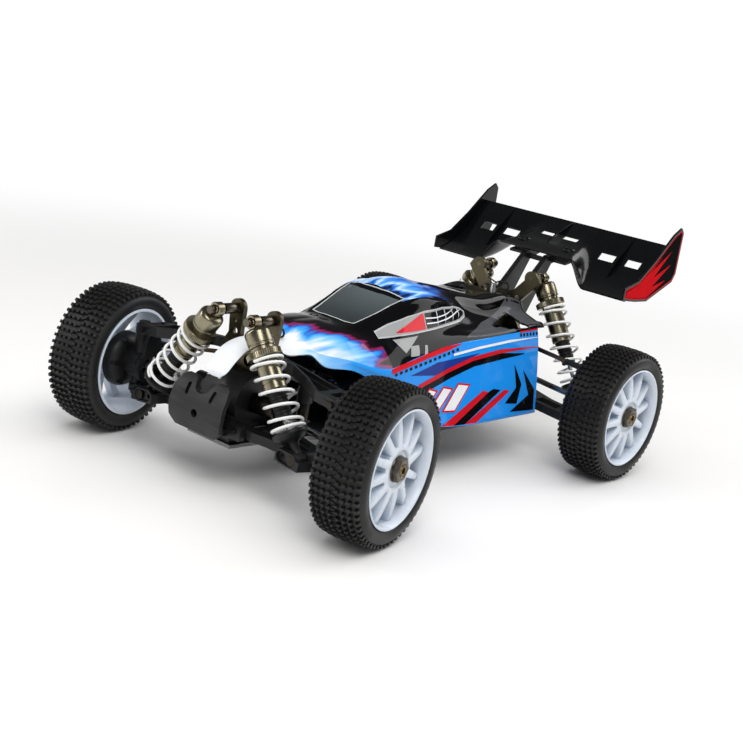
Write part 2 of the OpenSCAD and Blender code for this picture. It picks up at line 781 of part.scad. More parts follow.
module front_gearbox() {
    x0 = front_tower_x - 5 - 2 * side_gap;
    translate([fx, 0, 0]) mirror([1, 0, 0]) gearbox(front_cup_y);
    color(nylon) difference() {
        union() {
            block([x0 - 3, front_tower_x - seat], [-15, 15], [diff_z + drum_r - 8, up_z + 6]);
            across_x(x0 - 3, x0) {
                translate([-pin_y, up_z - 5]) square([2 * pin_y, 10]);
                for (s = [1, -1]) translate([s * pin_y, up_z]) circle(r = 5);
            }
            rod_z(3, 30, 55, front_post_x);
        }
        for (s = [1, -1]) rod_x(pin_r + seat, x0 - 10, x0 + 1, s * pin_y, up_z);
        translate([fx, 0, 0]) rod_y(drum_r + seat, -30, 30, 0, diff_z);
        rod_y(1.2, -5, 5, front_post_x, 53);
    }
}

module rear_gearbox() {
    translate([rx, 0, 0]) gearbox(rear_cup_y);
    color(nylon) difference() {
        union() {
            block([rear_tower_x + seat, rear_tower_x + 13], [-15, 15], [diff_z + 12, up_z + 8]);
            rod_z(3, up_z, 81, rear_post_x);
        }
        translate([rx, 0, 0]) rod_y(drum_r + seat, -30, 30, 0, diff_z);
        rod_y(1.2, -5, 5, rear_post_x, 78.5);
    }
}

// Stud that carries a shock's upper eye: spacer, shank and nut
module shock_stud(x_plate, x_eye, p) {
    d = x_eye > x_plate ? 1 : -1;
    far = x_eye + d * (eye_w / 2 + 0.4);
    near = x_eye - d * (eye_w / 2 + 0.4);
    rod_x(stud_r, min(x_plate - d * tower_t, far), max(x_plate - d * tower_t, far), p.x, p.y);
    rod_x(4, min(x_plate + d * seat, near), max(x_plate + d * seat, near), p.x, p.y);
    rod_x(3, min(far, far + d * 2.4), max(far, far + d * 2.4), p.x, p.y);
}

module front_tower() {
    x1 = front_tower_x + tower_t;
    color("#6f6b5c") difference() {
        across_x(front_tower_x, x1) difference() {
            union() {
                for (s = [1, -1]) mirror([s < 0 ? 1 : 0, 0]) {
                    polygon([
                        [0, 20], [16, 20], [20, up_z - 7], [pin_y + 3, up_z - 5], [pin_y + 5, up_z],
                        [pin_y + 3, up_z + 5], [front_top_y + 5, up_z + 11], [front_top_y + 7, front_top_z],
                        [front_top_y - 7, front_top_z], [front_top_y - 7, up_z + 7], [8, up_z + 3],
                        [0, up_z + 2]
                    ]);
                    translate(front_top) circle(r = 7);
                    translate([pin_y, up_z]) circle(r = 5.2);
                }
            }
            translate([0, 33]) circle(r = 4.4);
            for (s = [1, -1]) translate([s * (front_top_y - 1), front_top_z - 17]) circle(r = 2.8);
            for (s = [1, -1]) translate([s * front_top_y, front_top_z - 9.5]) circle(r = 1.7);
            for (s = [1, -1]) translate([s * 12.5, 32]) circle(r = 2);
        }
        for (s = [1, -1]) rod_x(pin_r + seat, front_tower_x - 1, x1 + 1, s * pin_y, up_z);
        for (s = [1, -1]) rod_x(stud_r + seat, front_tower_x - 1, x1 + 1, s * front_top.x, front_top.y);
        translate([fx, 0, 0]) rod_y(drum_r + seat, -30, 30, 0, diff_z);
    }
    color(steel) for (s = [1, -1]) shock_stud(x1, front_shock_x, [s * front_top.x, front_top.y]);
}

module rear_tower() {
    x0 = rear_tower_x - tower_t;
    color("#6f6b5c") difference() {
        across_x(x0, rear_tower_x) difference() {
            union() {
                for (s = [1, -1]) mirror([s < 0 ? 1 : 0, 0]) {
                    polygon([
                        [0, 20], [15, 20], [19, up_z - 8], [pin_y + 4, up_z - 5], [pin_y + 5, up_z + 4],
                        [21, up_z + 14],
                        [22, up_z + 32], [rear_top_y + 10, rear_top_z - 2], [rear_top_y + 7, rear_top_z + 3],
                        [rear_top_y - 6, rear_top_z - 3], [13, rear_top_z - 14], [0, rear_top_z - 18]
                    ]);
                    translate(rear_top) circle(r = 6.5);
                }
            }
            translate([0, 56]) circle(r = 7);
            for (s = [1, -1]) for (k = [0:2])
                translate([s * (11 + 3.5 * k), rear_top_z - 38 + 9 * k]) circle(r = 2.6);
            for (s = [1, -1]) translate([s * 10, 38]) circle(r = 2.2);
        }
        for (s = [1, -1]) rod_x(1.4 + seat, x0 - 1, rear_tower_x + 1, s * pin_y, up_z);
        for (s = [1, -1]) rod_x(stud_r + seat, x0 - 1, rear_tower_x + 1, s * rear_top.x, rear_top.y);
        translate([rx, 0, 0]) rod_y(drum_r + seat, -30, 30, 0, diff_z);
    }
    color(steel) for (s = [1, -1]) {
        shock_stud(x0, rear_shock_x, [s * rear_top.x, rear_top.y]);
        ball_stud(x0, rx + link_x, s * pin_y, up_z);
    }
}

// Spring clip of bent wire through the top of a body post: straight leg, loop and waisted leg
clip_r = 0.8;
clip_loop = 3;

module body_clip(x, z) translate([x, 0, z]) rotate([90, 0, 90]) {
    rod_x(clip_r, -9, 12);
    translate([12, clip_loop, 0]) rotate([0, 0, -90]) rotate_extrude(angle = 180)
        translate([clip_loop, 0]) circle(r = clip_r);
    rod_x(clip_r, 5.4, 12, 2 * clip_loop);
    stick([6.4, 6.4, 0], [0.6, 3.5, 0], 0.9 * clip_r);
    stick([1.6, 3.6, 0], [-8, 6.6, 0], 0.8 * clip_r);
}

module hinge_pins() color(steel) {
    for (s = [1, -1]) {
        for (x = [fx, rx]) rod_x(pin_r, x - 25, x + 25, s * pin_y, low_z);
        rod_x(pin_r, front_tower_x - 10, front_tower_x + tower_t + 1.5, s * pin_y, up_z);
        rod_z(post_r, floor_z + seat, 31, post_x, s * post_y);
        rod_z(4.5, floor_z + seat, 5, post_x, s * post_y);
    }
    body_clip(front_post_x, 53);
    body_clip(rear_post_x, 78.5);
}

// Chassis

module chassis_plate() {
    color("#8d8f92") across_z(-chassis_drop, floor_z) difference() {
        polygon([
            [fx + 24, 22], [fx - 20, 24], [fx - 52, 30], [fx - 92, chassis_y - 4], [fx - 120, chassis_y],
            [rx + 70, chassis_y], [rx + 40, 34], [rx - 24, 26], [rx - 34, 18], [rx - 34, -18], [rx - 24, -26],
            [rx + 40, -34], [rx + 70, -chassis_y], [fx - 120, -chassis_y], [fx - 92, -chassis_y + 4],
            [fx - 52, -30], [fx - 20, -24], [fx + 24, -22]
        ]);
        for (x = [post_x - 32, spur_x + 40]) translate([x, 0]) circle(r = 6);
        translate([rx + 62, 0]) circle(r = 6);
    }
}

module guard_profile() polygon([
    [chassis_y + 0.6, -chassis_drop], [chassis_y + 3.5, -chassis_drop], [chassis_y + 9.5, -chassis_drop + 9],
    [chassis_y + 9.5, -chassis_drop + 19], [chassis_y + 7.5, -chassis_drop + 19],
    [chassis_y + 7.5, -chassis_drop + 10],
    [chassis_y + 3, floor_z + 2], [chassis_y - 3, floor_z + 2], [chassis_y - 3, floor_z + seat],
    [chassis_y + 0.6, floor_z + seat]
]);

// Side guards, and the brace that ties the steering posts to the front gearbox
module guards_and_braces() color(nylon) {
    for (s = [1, -1]) side(s) across_x(rx + 72, fx - 130) guard_profile();
    difference() {
        across_z(28, 31) difference() {
            union() {
                for (s = [1, -1]) bar([post_x, s * post_y], [fx - 27, s * 8], 9);
                bar([post_x, -post_y], [post_x, post_y], 9);
                translate([fx - 33, -8]) square([33 - 19.5 - seat, 16]);
            }
            for (s = [1, -1]) translate([post_x, s * post_y]) circle(r = post_r + seat);
            translate([front_post_x, 0]) circle(r = 3 + seat);
        }
        translate([fx, 0, 0]) rod_y(drum_r + seat, -30, 30, 0, diff_z);
        block([front_tower_x - 10, fx], [-16, 16], [0, 60]);
    }
}

// Skid plate in front of the gearbox: bent backwards at the top, with two slotted ears and a round hole
bumper_r = 34;
bumper_t = 3.5;

module bumper_outline() difference() {
    union() for (s = [0, 1]) mirror([s, 0]) polygon([
        [0, -16], [20, -16], [26, -10], [27, 0], [26, 14], [23.5, 20.5], [20.5, 22], [11.5, 22], [9, 20.5],
        [6.5, 15], [3.5, 12.8], [0, 12.3]
    ]);
    for (s = [1, -1]) bar([s * 12.2, 10], [s * 12.8, 15.6], 3);
    translate([0, -2]) circle(r = 3);
}

module front_bumper() {
    x0 = fx + 24 + seat;
    centre = [fx + 42 - bumper_r, -2];
    arc = [for (a = [-24:6:48]) [cos(a), sin(a)]];
    color(nylon) {
        intersection() {
            across_y(-30, 30) polygon(concat(
                [for (p = arc) centre + bumper_r * p],
                back([for (p = arc) centre + (bumper_r - bumper_t) * p])
            ));
            across_x(x0, fx + 50) bumper_outline();
        }
        block([x0, fx + 37.5], [-16, 16], [low_z - 6, low_z - 1]);
        for (s = [1, -1]) side(s) across_y(10, 13) polygon([
            [x0, low_z - 5], [fx + 37.5, low_z - 5], [fx + 39.5, -2], [fx + 38.2, 8], [x0, low_z - 1.5]
        ]);
    }
}

// Drive line

function involute(a) = tan(a) * 180 / PI - a;

module gear(teeth, width, bore) {
    r = gear_module * teeth / 2;
    base = r * cos(20);
    tip = r + 0.9 * gear_module;
    root = r - 1.25 * gear_module;
    half = 90 / teeth - backlash / 2 / r * 90 / PI + involute(20);
    flank = [for (k = [0:3]) let (q = max(base, root) + (tip - max(base, root)) * k / 3)
        [q, half - involute(acos(min(1, base / q)))]];
    profile = [
        for (i = [0:teeth - 1]) let (mid = i * 360 / teeth)
            each concat(
                [root * [cos(mid - flank[0][1]), sin(mid - flank[0][1])]],
                [for (f = flank) f[0] * [cos(mid - f[1]), sin(mid - f[1])]],
                [for (f = back(flank)) f[0] * [cos(mid + f[1]), sin(mid + f[1])]],
                [root * [cos(mid + flank[0][1]), sin(mid + flank[0][1])]]
            )
    ];
    linear_extrude(width, center = true) difference() {
        polygon(profile);
        circle(r = bore);
    }
}

shaft_r = 3;
mount_x = [spur_x - 16, spur_x + 16];

// Centre differential with its gear and the two shafts to the gearboxes
module centre_drive() {
    color("#3a3a3c") translate([spur_x, 0, drive_z]) rotate([90, 0, 90]) gear(spur_teeth, 6, 14);
    color(steel) {
        rod_x(14 - seat, spur_x - 11, spur_x + 11, 0, drive_z);
        rod_x(5, mount_x[0] - 6, mount_x[1] + 6, 0, drive_z);
        rod_x(shaft_r, rx + 25, fx - 25, 0, drive_z);
    }
}

module motor_pinion() color(steel) {
    translate([spur_x, motor_y, drive_z]) rotate([90, 0, 90]) rotate(180 / pinion_teeth)
        gear(pinion_teeth, 7, 2.5);
    rod_x(2.5 - seat, spur_x - 12, spur_x + 4, motor_y, drive_z);
}

// Motor on its plate, with the two bearing stands of the centre differential
module drive_motor() {
    can_x = mount_x[0] - 2;
    color("#2b2b30") difference() {
        union() {
            rod_x(motor_d / 2, can_x - 62, can_x - seat, motor_y, drive_z);
            for (i = [0:15]) translate([0, motor_y, drive_z]) rotate([i * 22.5, 0, 0])
                block([can_x - 58, can_x - 6], [-1, 1], [0, motor_d / 2 + 0.8]);
        }
        rod_x(3.2, can_x - 12, can_x + 1, motor_y, drive_z);
    }
    color(metal) for (x = mount_x) difference() {
        across_x(x - 2, x + 2) difference() {
            polygon([
                [-10, floor_z + seat], [12, floor_z + seat], [12, drive_z + 8], [6, drive_z + 14],
                [x < spur_x ? motor_y - 14 : -10, drive_z + 14],
                [x < spur_x ? motor_y - 14 : -10, floor_z + seat]
            ]);
            translate([0, drive_z]) circle(r = 5 + run_fit);
            translate([motor_y, drive_z]) circle(r = 6);
        }
    }
}

// Steering

module on_crank(y) translate([post_x, y, 0]) rotate([0, 0, steer_rest]) children();

module bellcrank(s) on_crank(s * post_y) color(nylon) {
    low = link_z - 0.4 - 4.5;
    difference() {
        union() {
            rod_z(6.2, 5.4, s < 0 ? rod_z_low - 0.5 : 18);
            across_z(low, low + 4.5) bar([0, 0], [-steer_arm, 0], 8);
            if (s < 0) across_z(rod_z_low - 4, rod_z_low - 0.5) bar([0, 0], [-steer_arm, 0], 6);
        }
        rod_z(post_r + run_fit, 0, 40);
    }
    rod_z(crank_pin_r, low + 4, link_z + link_t + 0.4, -steer_arm);
    if (s < 0) rod_z(crank_pin_r, rod_z_low - 1, rod_z_low + 4.4, -steer_arm);
}

// Plate between the bellcranks with the balls of the tie rods, and the rod to the servo
module drag_link() translate([throw.x, throw.y, 0]) {
    horn = [servo_x, servo_y];
    crank = [post_x, -post_y];
    color("#9c9a90") across_z(link_z, link_z + link_t) difference() {
        bar([post_x, -inner_ball_y], [post_x, inner_ball_y], 9);
        for (s = [1, -1]) translate([post_x, s * post_y]) circle(r = crank_pin_r + run_fit);
    }
    color(steel) for (s = [1, -1]) {
        rod_z(1.4, link_z + link_t + seat, inner_ball_z, post_x, s * inner_ball_y);
        translate([post_x, s * inner_ball_y, inner_ball_z]) sphere(r = ball_r);
    }
    color(nylon) across_z(rod_z_low, rod_z_low + 3.6) difference() {
        union() {
            bar(horn, crank, 3.6);
            for (p = [horn, crank]) translate(p) circle(r = 3.2);
        }
        for (p = [horn, crank]) translate(p) circle(r = crank_pin_r + run_fit);
    }
}

module steering_servo() {
    top = rod_z_low - 5.2;
    color("#222226") difference() {
        union() {
            block([servo_x - 30, servo_x + 10], [servo_y - 10, servo_y + 10], [floor_z + seat, top - 2]);
            block([servo_x - 37, servo_x + 17], [servo_y - 9, servo_y + 9], [top - 14, top - 11.5]);
            rod_z(6, top - 3, top - 1, servo_x, servo_y);
        }
        for (x = [servo_x - 33.5, servo_x + 13.5]) for (y = [-5, 5]) rod_z(2, top - 20, top, x, servo_y + y);
    }
    color(metal) rod_z(2.8, top - 1 + seat, top + 0.8, servo_x, servo_y);
}

module servo_horn() translate([servo_x, servo_y, 0]) rotate([0, 0, steer_rest]) color(nylon) {
    low = rod_z_low - 4;
    difference() {
        union() {
            across_z(low, low + 3.5) bar([0, 0], [-steer_arm, 0], 6);
            rod_z(4.5, low, low + 3.5);
        }
        rod_z(2.8 + run_fit, low - 1, low + 1);
    }
    rod_z(crank_pin_r, low + 3, rod_z_low + 4.4, -steer_arm);
}

// Battery, speed controller and receiver box
module battery_and_radio() {
    color("#20232b") difference() {
        block([spur_x - 100, spur_x - 100 + battery_l], [25, 50], [floor_z + seat, floor_z + 47]);
        for (k = [1:5]) block([spur_x - 100 + k * battery_l / 6 - 1, spur_x - 100 + k * battery_l / 6 + 1],
            [24, 25.6], [floor_z + 4, floor_z + 43]);
    }
    color("#2a2a2d") {
        block([spur_x + 17, spur_x + 51], [-50, -18], [floor_z + seat, floor_z + 26]);
        for (k = [0:6])
            block([spur_x + 19 + 4.6 * k, spur_x + 21 + 4.6 * k], [-48, -20], [floor_z + 25, floor_z + 32]);
    }
    color("#2a2a2d") block([post_x - 84, post_x - 36], [20, 44], [floor_z + seat, floor_z + 24]);
}

// Body shell: sections from the lower edge to the middle of the roof, front to rear, heights from the ground
shell_rows = [
    [146, [26, 101], [24, 102], [21.5, 103], [17.5, 104.6], [12, 106.2], [6, 107.2], [0, 107.5]],
    [139, [32.8, 102.4], [30.5, 103.6], [27.5, 104.9], [23, 106.6], [15, 108.3], [7, 108.9], [0, 109]],
    [131, [37, 102.6], [35.2, 104], [32.5, 106], [27, 108.8], [18, 112.2], [8, 113.2], [0, 113.4]],
    [122, [44.8, 95], [42.3, 98.8], [39, 103], [33, 109.6], [19, 116.5], [8, 118], [0, 118]],
    [98, [52, 92], [51, 95], [49, 99], [37, 110], [22, 117], [9, 119], [0, 119]],
    [73, [57, 80], [59, 86], [59, 93], [43, 107], [25, 116], [11, 118.5], [0, 119]],
    [52, [62, 66], [61, 84], [59, 95], [47, 109], [28, 122], [13, 127], [0, 128]],
    [33, [66, 52], [62, 80], [58.5, 99], [47, 113], [32, 128.5], [15, 136], [0, 138]],
    [15, [68, 45], [63, 78], [58, 102], [46, 116], [34, 133], [17, 142.5], [0, 146]],
    [-5, [69.4, 42], [63.5, 78], [57.5, 105], [45, 117], [34.5, 134], [17, 144], [0, 147.5]],
    [-28, [70, 40], [63.5, 78], [57, 107], [43, 117], [32, 132], [16, 140.5], [0, 143.5]],
    [-55, [70, 39], [63.5, 78], [57, 108], [43, 114], [28, 127], [15, 137], [0, 139.5]],
    [-92, [70, 39], [63.5, 78], [56.5, 109.5], [45, 113], [31, 121], [24, 132], [0, 134]],
    [-125, [70, 39], [63.5, 78], [56, 111], [46, 115.5], [32, 124], [24.5, 135], [0, 131]],
    [-152, [70, 39], [63.5, 78], [55.5, 112], [45, 116], [32, 121], [25, 129], [0, 129]]
];

// Tongue between the front shock absorbers: place, half width, height at its edge and along its middle
tongue_rows = [
    [189.8, 5, 81.8, 81.2],
    [189.3, 8.8, 84.2, 84.8],
    [187, 10.8, 87.6, 88.8],
    [181, 11.2, 94.4, 95.7],
    [172, 11, 101, 102.3],
    [162, 10.5, 104.6, 105.9],
    [152, 10.6, 105.6, 107.1]
];

function tongue_row(t) = [
    t[0],
    for (a = [90:-15:0]) [t[1] * sin(a), t[2] + (t[3] - t[2]) * cos(a)]
];

// The nose goes with the front axle and the tail with the rear one
drawn_half = 162.5;
rigid_from = 98;

function shell_point(row, j) = [
    row[0] + (fx - drawn_half) * max(-1, min(1, row[0] / rigid_from)),
    row[j].x + (shell_w - 140) / 2 * max(0, (115 - row[j].y) / 76),
    row[j].y - 57
];

module body_shell() {
    drawn = concat([for (t = tongue_rows) tongue_row(t)], shell_rows);
    rows = [for (row = drawn) [for (j = [1:len(row) - 1]) shell_point(row, j)]];
    half = [for (row = smooth(rows, 2)) smooth(row, 3)];
    full = [for (row = half) concat(row, [for (j = [len(row) - 2:-1:0]) [row[j].x, -row[j].y, row[j].z]])];
    tail_x = rx + 21.5;
    color("#2d5db8") difference() {
        sheet(full, shell_t);
        block([tail_x - 60, tail_x], [-90, 90], [-40, 55]);
        for (s = [1, -1]) side(s) across_y(36, 70) polygon([
            [tail_x + 12, 56], [tail_x + 22, 64], [tail_x + 54, 56]
        ]);
        rod_z(3.6, 30, 70, front_post_x);
        rod_z(3.6, 60, 90, rear_post_x);
    }
}

// Rear wing

wing_rows = [
    [[-197, 146], [-204, 148], [-216, 153], [-230, 162], [-243, 174], [-254, 186], [-262, 194]],
    [[-199, 168], [-204, 169], [-216, 172.5], [-230, 176], [-243, 181], [-254, 188], [-262, 194]]
];
wing_y = wing_w / 2;
button = [-219, 24.6];

// Share of the raised middle at a distance from the centre line
function raised(y) = let (t = max(0, min(1, (58 - abs(y)) / 26))) t * t * (3 - 2 * t);

module wing() {
    stations = [for (i = [-12:12]) i * (wing_y - wing_t) / 12];
    low = smooth(wing_rows[0], 2);
    high = smooth(wing_rows[1], 2);
    grid = [
        for (y = stations) [
            for (k = [0:len(low) - 1])
                let (p = low[k] + (high[k] - low[k]) * raised(y))
                [p.x, y, p.y - 57]
        ]
    ];
    color("#111113") difference() {
        union() {
            sheet(grid, wing_t);
            for (s = [1, -1]) side(s) across_y(wing_y - wing_t - 0.2, wing_y) polygon([
                [-190, 90], [-234, 87], [-276, 104], [-wing_tail + 0.5, 112], [-wing_tail + 2.5, 150],
                [-274, 154.5],
                [-262, 148], [-236, 125], [-212, 107], [-190, 101]
            ]);
            for (y = [0, 38, 66, 88]) for (s = y > 0 ? [1, -1] : [1])
                side(s) across_y(y - 0.9, y + 0.9) polygon([
                    [-226, 113 - 11 * (1 - raised(y))], [-262, 135], [-266, 144], [-260, 145],
                    [-232, 126 - 12 * (1 - raised(y))]
                ]);
        }
        for (s = [1, -1]) for (y = [12, 53, 78]) air_slot(s * y);
        for (s = [1, -1]) rod_z(2, 60, 160, button.x, s * button.y);
    }
    color("#141414") for (s = [1, -1]) {
        rod_z(2 - seat, 108, 118.5, button.x, s * button.y);
        rod_z(6.5, 117.6, 119.6, button.x, s * button.y);
    }
}

// Slot through the blade, along the span
module air_slot(y) translate([-241, y, 90]) across_z(0, 60) bar([0, -5], [0, 5], 5);

module wing_mount() {
    x0 = rear_tower_x - tower_t - seat;
    color(nylon) difference() {
        union() {
            for (s = [1, -1]) side(s) {
                across_y(9, 14) polygon([
                    [x0, 30], [x0, 74], [x0 - 8, 74], [-204, 108], [-232, 112], [-234, 108.5], [-212, 101],
                    [x0 - 18, 46],
                    [x0 - 10, 30]
                ]);
                across_y(9, 31) polygon([[-208, 106], [-232, 110.5], [-232, 108.3], [-208, 103.5]]);
            }
            block([x0 - 8, x0], [-14, 14], [44, 52]);
            block([x0 - 8, x0], [-14, 14], [66, 74]);
            block([-212, -206], [-14, 14], [101.5, 105.5]);
        }
        for (s = [1, -1]) rod_z(2, 60, 130, button.x, s * button.y);
    }
}

corners = [for (e = ["front", "rear"]) for (s = [1, -1]) str(e, "_", side_name(s), "_")];
corner_pieces = ["lower_arm", "driveshaft", "shock_body", "shock_rod", "spring", "wheel", "tyre"];

// Piece to draw, or all of them

module draw(name) car() children();

draw("chassis_plate") chassis_plate();
draw("guards_and_braces") guards_and_braces();
draw("front_bumper") front_bumper();
draw("front_gearbox") front_gearbox();
draw("rear_gearbox") rear_gearbox();
draw("front_shock_tower") front_tower();
draw("rear_shock_tower") rear_tower();
draw("hinge_pins") hinge_pins();
draw("steering_servo") steering_servo();
draw("drive_motor") drive_motor();
draw("battery_and_radio") battery_and_radio();
draw("body_shell") body_shell();
draw("wing_mount") wing_mount();
draw("wing") wing();
draw("centre_drive") centre_drive();
draw("motor_pinion") motor_pinion();
draw("servo_horn") servo_horn();
draw("drag_link") drag_link();

for (s = [1, -1]) {
    front = str("front_", side_name(s), "_");
    rear = str("rear_", side_name(s), "_");
    draw(str("bellcrank_", side_name(s))) bellcrank(s);
    draw(str("tie_rod_", side_name(s))) tie_rod(s);
    draw(str(front, "lower_arm")) on_front_arm(s, low_z) front_lower_arm();
    draw(str(front, "upper_arm")) on_front_arm(s, up_z) front_upper_arm();
    draw(str(front, "steering_hub")) side(s) front_hub();
    draw(str(front, "knuckle")) on_front_hub(s) knuckle();
    draw(str(front, "driveshaft")) side(s) drive_shaft(fx, front_cup_y, king_y);
    draw(str(front, "shock_body")) on_front_shock(s) shock_body(front_shock_len, front_stroke);
    draw(str(front, "shock_rod")) on_front_shock(s) shock_rod(front_shock_len, front_stroke);
    draw(str(front, "spring")) on_front_shock(s) spring(front_coils, front_shock_len);
    draw(str(front, "wheel")) on_front_wheel(s) wheel(7 - front_offset);
    draw(str(front, "tyre")) on_front_wheel(s) tyre();
    draw(str(rear, "lower_arm")) on_rear_arm(s, low_z) rear_lower_arm();
    draw(str(rear, "upper_link")) side(s) rear_upper_link();
    draw(str(rear, "hub")) side(s) rear_hub();
    draw(str(rear, "driveshaft")) side(s) drive_shaft(rx, rear_cup_y, rear_joint_y);
    draw(str(rear, "shock_body")) on_rear_shock(s) shock_body(rear_shock_len, rear_stroke);
    draw(str(rear, "shock_rod")) on_rear_shock(s) shock_rod(rear_shock_len, rear_stroke);
    draw(str(rear, "spring")) on_rear_shock(s) spring(rear_coils, rear_shock_len);
    draw(str(rear, "wheel")) on_rear_wheel(s) wheel(rear_joint_y + 5 - rear_track / 2);
    draw(str(rear, "tyre")) on_rear_wheel(s) tyre();
}
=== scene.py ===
"""Looks of the radio-controlled buggy: finishes, tread, wheels, shocks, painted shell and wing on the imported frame."""

import json
import math

import bmesh
import bpy
from mathutils import Matrix, Vector
from mathutils.bvhtree import BVHTree
from mathutils.geometry import delaunay_2d_cdt


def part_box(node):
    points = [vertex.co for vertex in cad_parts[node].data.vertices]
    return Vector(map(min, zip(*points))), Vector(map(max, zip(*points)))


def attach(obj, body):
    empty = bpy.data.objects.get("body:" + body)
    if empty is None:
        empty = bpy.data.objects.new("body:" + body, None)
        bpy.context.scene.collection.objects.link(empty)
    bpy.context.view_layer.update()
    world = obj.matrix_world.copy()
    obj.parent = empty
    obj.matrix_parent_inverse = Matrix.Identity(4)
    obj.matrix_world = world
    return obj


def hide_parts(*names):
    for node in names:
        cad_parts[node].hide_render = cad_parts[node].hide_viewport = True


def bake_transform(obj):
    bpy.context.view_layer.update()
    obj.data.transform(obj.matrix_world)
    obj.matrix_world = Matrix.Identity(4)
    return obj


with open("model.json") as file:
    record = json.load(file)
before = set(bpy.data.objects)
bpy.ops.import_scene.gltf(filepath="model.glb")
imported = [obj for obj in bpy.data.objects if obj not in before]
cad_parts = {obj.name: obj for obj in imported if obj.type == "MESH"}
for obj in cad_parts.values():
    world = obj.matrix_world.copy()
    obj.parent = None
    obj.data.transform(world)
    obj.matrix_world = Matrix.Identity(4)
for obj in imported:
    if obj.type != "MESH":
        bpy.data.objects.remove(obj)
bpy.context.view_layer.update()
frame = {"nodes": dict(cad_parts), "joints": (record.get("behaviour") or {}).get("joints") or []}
nodes = frame["nodes"]
joints = {j["name"]: j for j in frame["joints"]}

# Lengths are in millimetres, with MM to turn them into the scene's metres

MM = 0.001
CORNERS = ["front_left", "front_right", "rear_left", "rear_right"]
FRONT_AXLE_X = joints["front_left_suspension"]["pos_m"][0] / MM
REAR_AXLE_X = joints["rear_left_suspension"]["pos_m"][0] / MM
MID_X = (FRONT_AXLE_X + REAR_AXLE_X) / 2


# Finishes

def colour(code):
    """An sRGB hex value as linear RGBA."""
    channels = [int(code[i:i + 2], 16) / 255 for i in (1, 3, 5)]
    return [c / 12.92 if c <= 0.04045 else ((c + 0.055) / 1.055) ** 2.4 for c in channels] + [1.0]


def add(tree, kind, sockets=None, links=None, **settings):
    """Adds one node with its settings, its socket values and the outputs that feed it."""
    node = tree.nodes.new("ShaderNode" + kind)
    for name, value in settings.items():
        setattr(node, name, value)
    for key, value in (sockets or {}).items():
        node.inputs[key].default_value = value
    for key, source in (links or {}).items():
        tree.links.new(source, node.inputs[key])
    return node


def finish(name, base, roughness, **sockets):
    """A material with one Principled shader; returns the material, its nodes and the shader."""
    material = bpy.data.materials.new(name)
    material.use_nodes = True
    tree = material.node_tree
    shader = tree.nodes["Principled BSDF"]
    shader.inputs["Base Color"].default_value = colour(base)
    shader.inputs["Roughness"].default_value = roughness
    for key, value in sockets.items():
        shader.inputs[key.replace("_", " ")].default_value = value
    return material, tree, shader


def per_mm(size):
    """Texture scale at which one cell of the pattern is this many millimetres."""
    return 1 / (size * MM)


NOISE = {"From Min": 0.3, "From Max": 0.7}  # values that a noise texture mostly gives
CLOUD = 25  # size of the patches in which a gloss wanders


def speckle(tree, shader, size, depth, rough, tones):
    """Grain of one cell size: bump of a depth in mm, a span of roughness and two tones of the colour."""
    place = add(tree, "TexCoord").outputs["Object"]
    grain = add(tree, "TexNoise", {"Scale": per_mm(size), "Detail": 4.0}, {"Vector": place}).outputs["Fac"]
    cloud = add(tree, "TexNoise", {"Scale": per_mm(CLOUD), "Detail": 3.0}, {"Vector": place}).outputs["Fac"]
    bump = add(tree, "Bump", {"Strength": 0.6, "Distance": depth * MM}, {"Height": grain})
    span = add(tree, "MapRange", {**NOISE, "To Min": rough[0], "To Max": rough[1]}, {"Value": cloud})
    mix = add(tree, "Mix", {6: colour(tones[0]), 7: colour(tones[1])}, {0: grain}, data_type="RGBA")
    tree.links.new(bump.outputs["Normal"], shader.inputs["Normal"])
    tree.links.new(span.outputs["Result"], shader.inputs["Roughness"])
    tree.links.new(mix.outputs[2], shader.inputs["Base Color"])


def paint_recess_shade(tree, shader, reach, span, tone):
    """Painted shade: turns the colour to another tone in recesses, by the share of open air within some mm."""
    unshaded = shader.inputs["Base Color"].links[0].from_socket
    open_air = add(tree, "AmbientOcclusion", {"Distance": reach * MM}, samples=8).outputs["AO"]
    limits = {"From Min": span[0], "From Max": span[1]}
    share = add(tree, "MapRange", limits, {"Value": open_air}).outputs["Result"]
    mix = add(tree, "Mix", {6: colour(tone)}, {0: share, 7: unshaded}, data_type="RGBA")
    tree.links.new(mix.outputs[2], shader.inputs["Base Color"])


def tyre_rubber():
    """Moulded rubber: near black, half dull, with fine pores, and painted shade between the blocks of the tread."""
    material, tree, shader = finish("moulded_rubber", "#121212", 0.55, Specular_IOR_Level=0.4)
    speckle(tree, shader, 0.8, 0.05, (0.42, 0.62), ("#101010", "#1b1a19"))
    # painted shade: the rubber turns near black between the pins, where little air is open within 4 mm
    paint_recess_shade(tree, shader, 4, (0.35, 0.85), "#050505")
    return material


def moulded_nylon(name="moulded_black_nylon", dark="#0b0b0c", light="#171819"):
    """Glass-filled nylon from a spark-eroded mould: charcoal, half matt, with a fine even grain."""
    material, tree, shader = finish(name, dark, 0.5, Specular_IOR_Level=0.4)
    speckle(tree, shader, 0.6, 0.04, (0.36, 0.55), (dark, light))
    return material


def wheel_nylon():
    """Dyed white nylon, polished in the mould: cool white with a soft gloss, with painted blue-grey shade in the
    recesses.
    """
    material, tree, shader = finish("polished_white_nylon", "#d6dee8", 0.3)
    speckle(tree, shader, 3.0, 0.02, (0.24, 0.36), ("#d3dbe6", "#dee5ee"))
    # painted shade: the nylon turns blue-grey in the recesses of the spokes, hub and barrel
    paint_recess_shade(tree, shader, 14, (0.25, 0.8), "#8fa0b4")
    return material


def anodised(name, tones, rough):
    """Turned and anodised aluminium: coloured metal with a fine grain in its tone and a wandering gloss."""
    material, tree, shader = finish(name, tones[0], 0.3, Metallic=1.0)
    speckle(tree, shader, 1.4, 0.01, rough, tones)
    return material


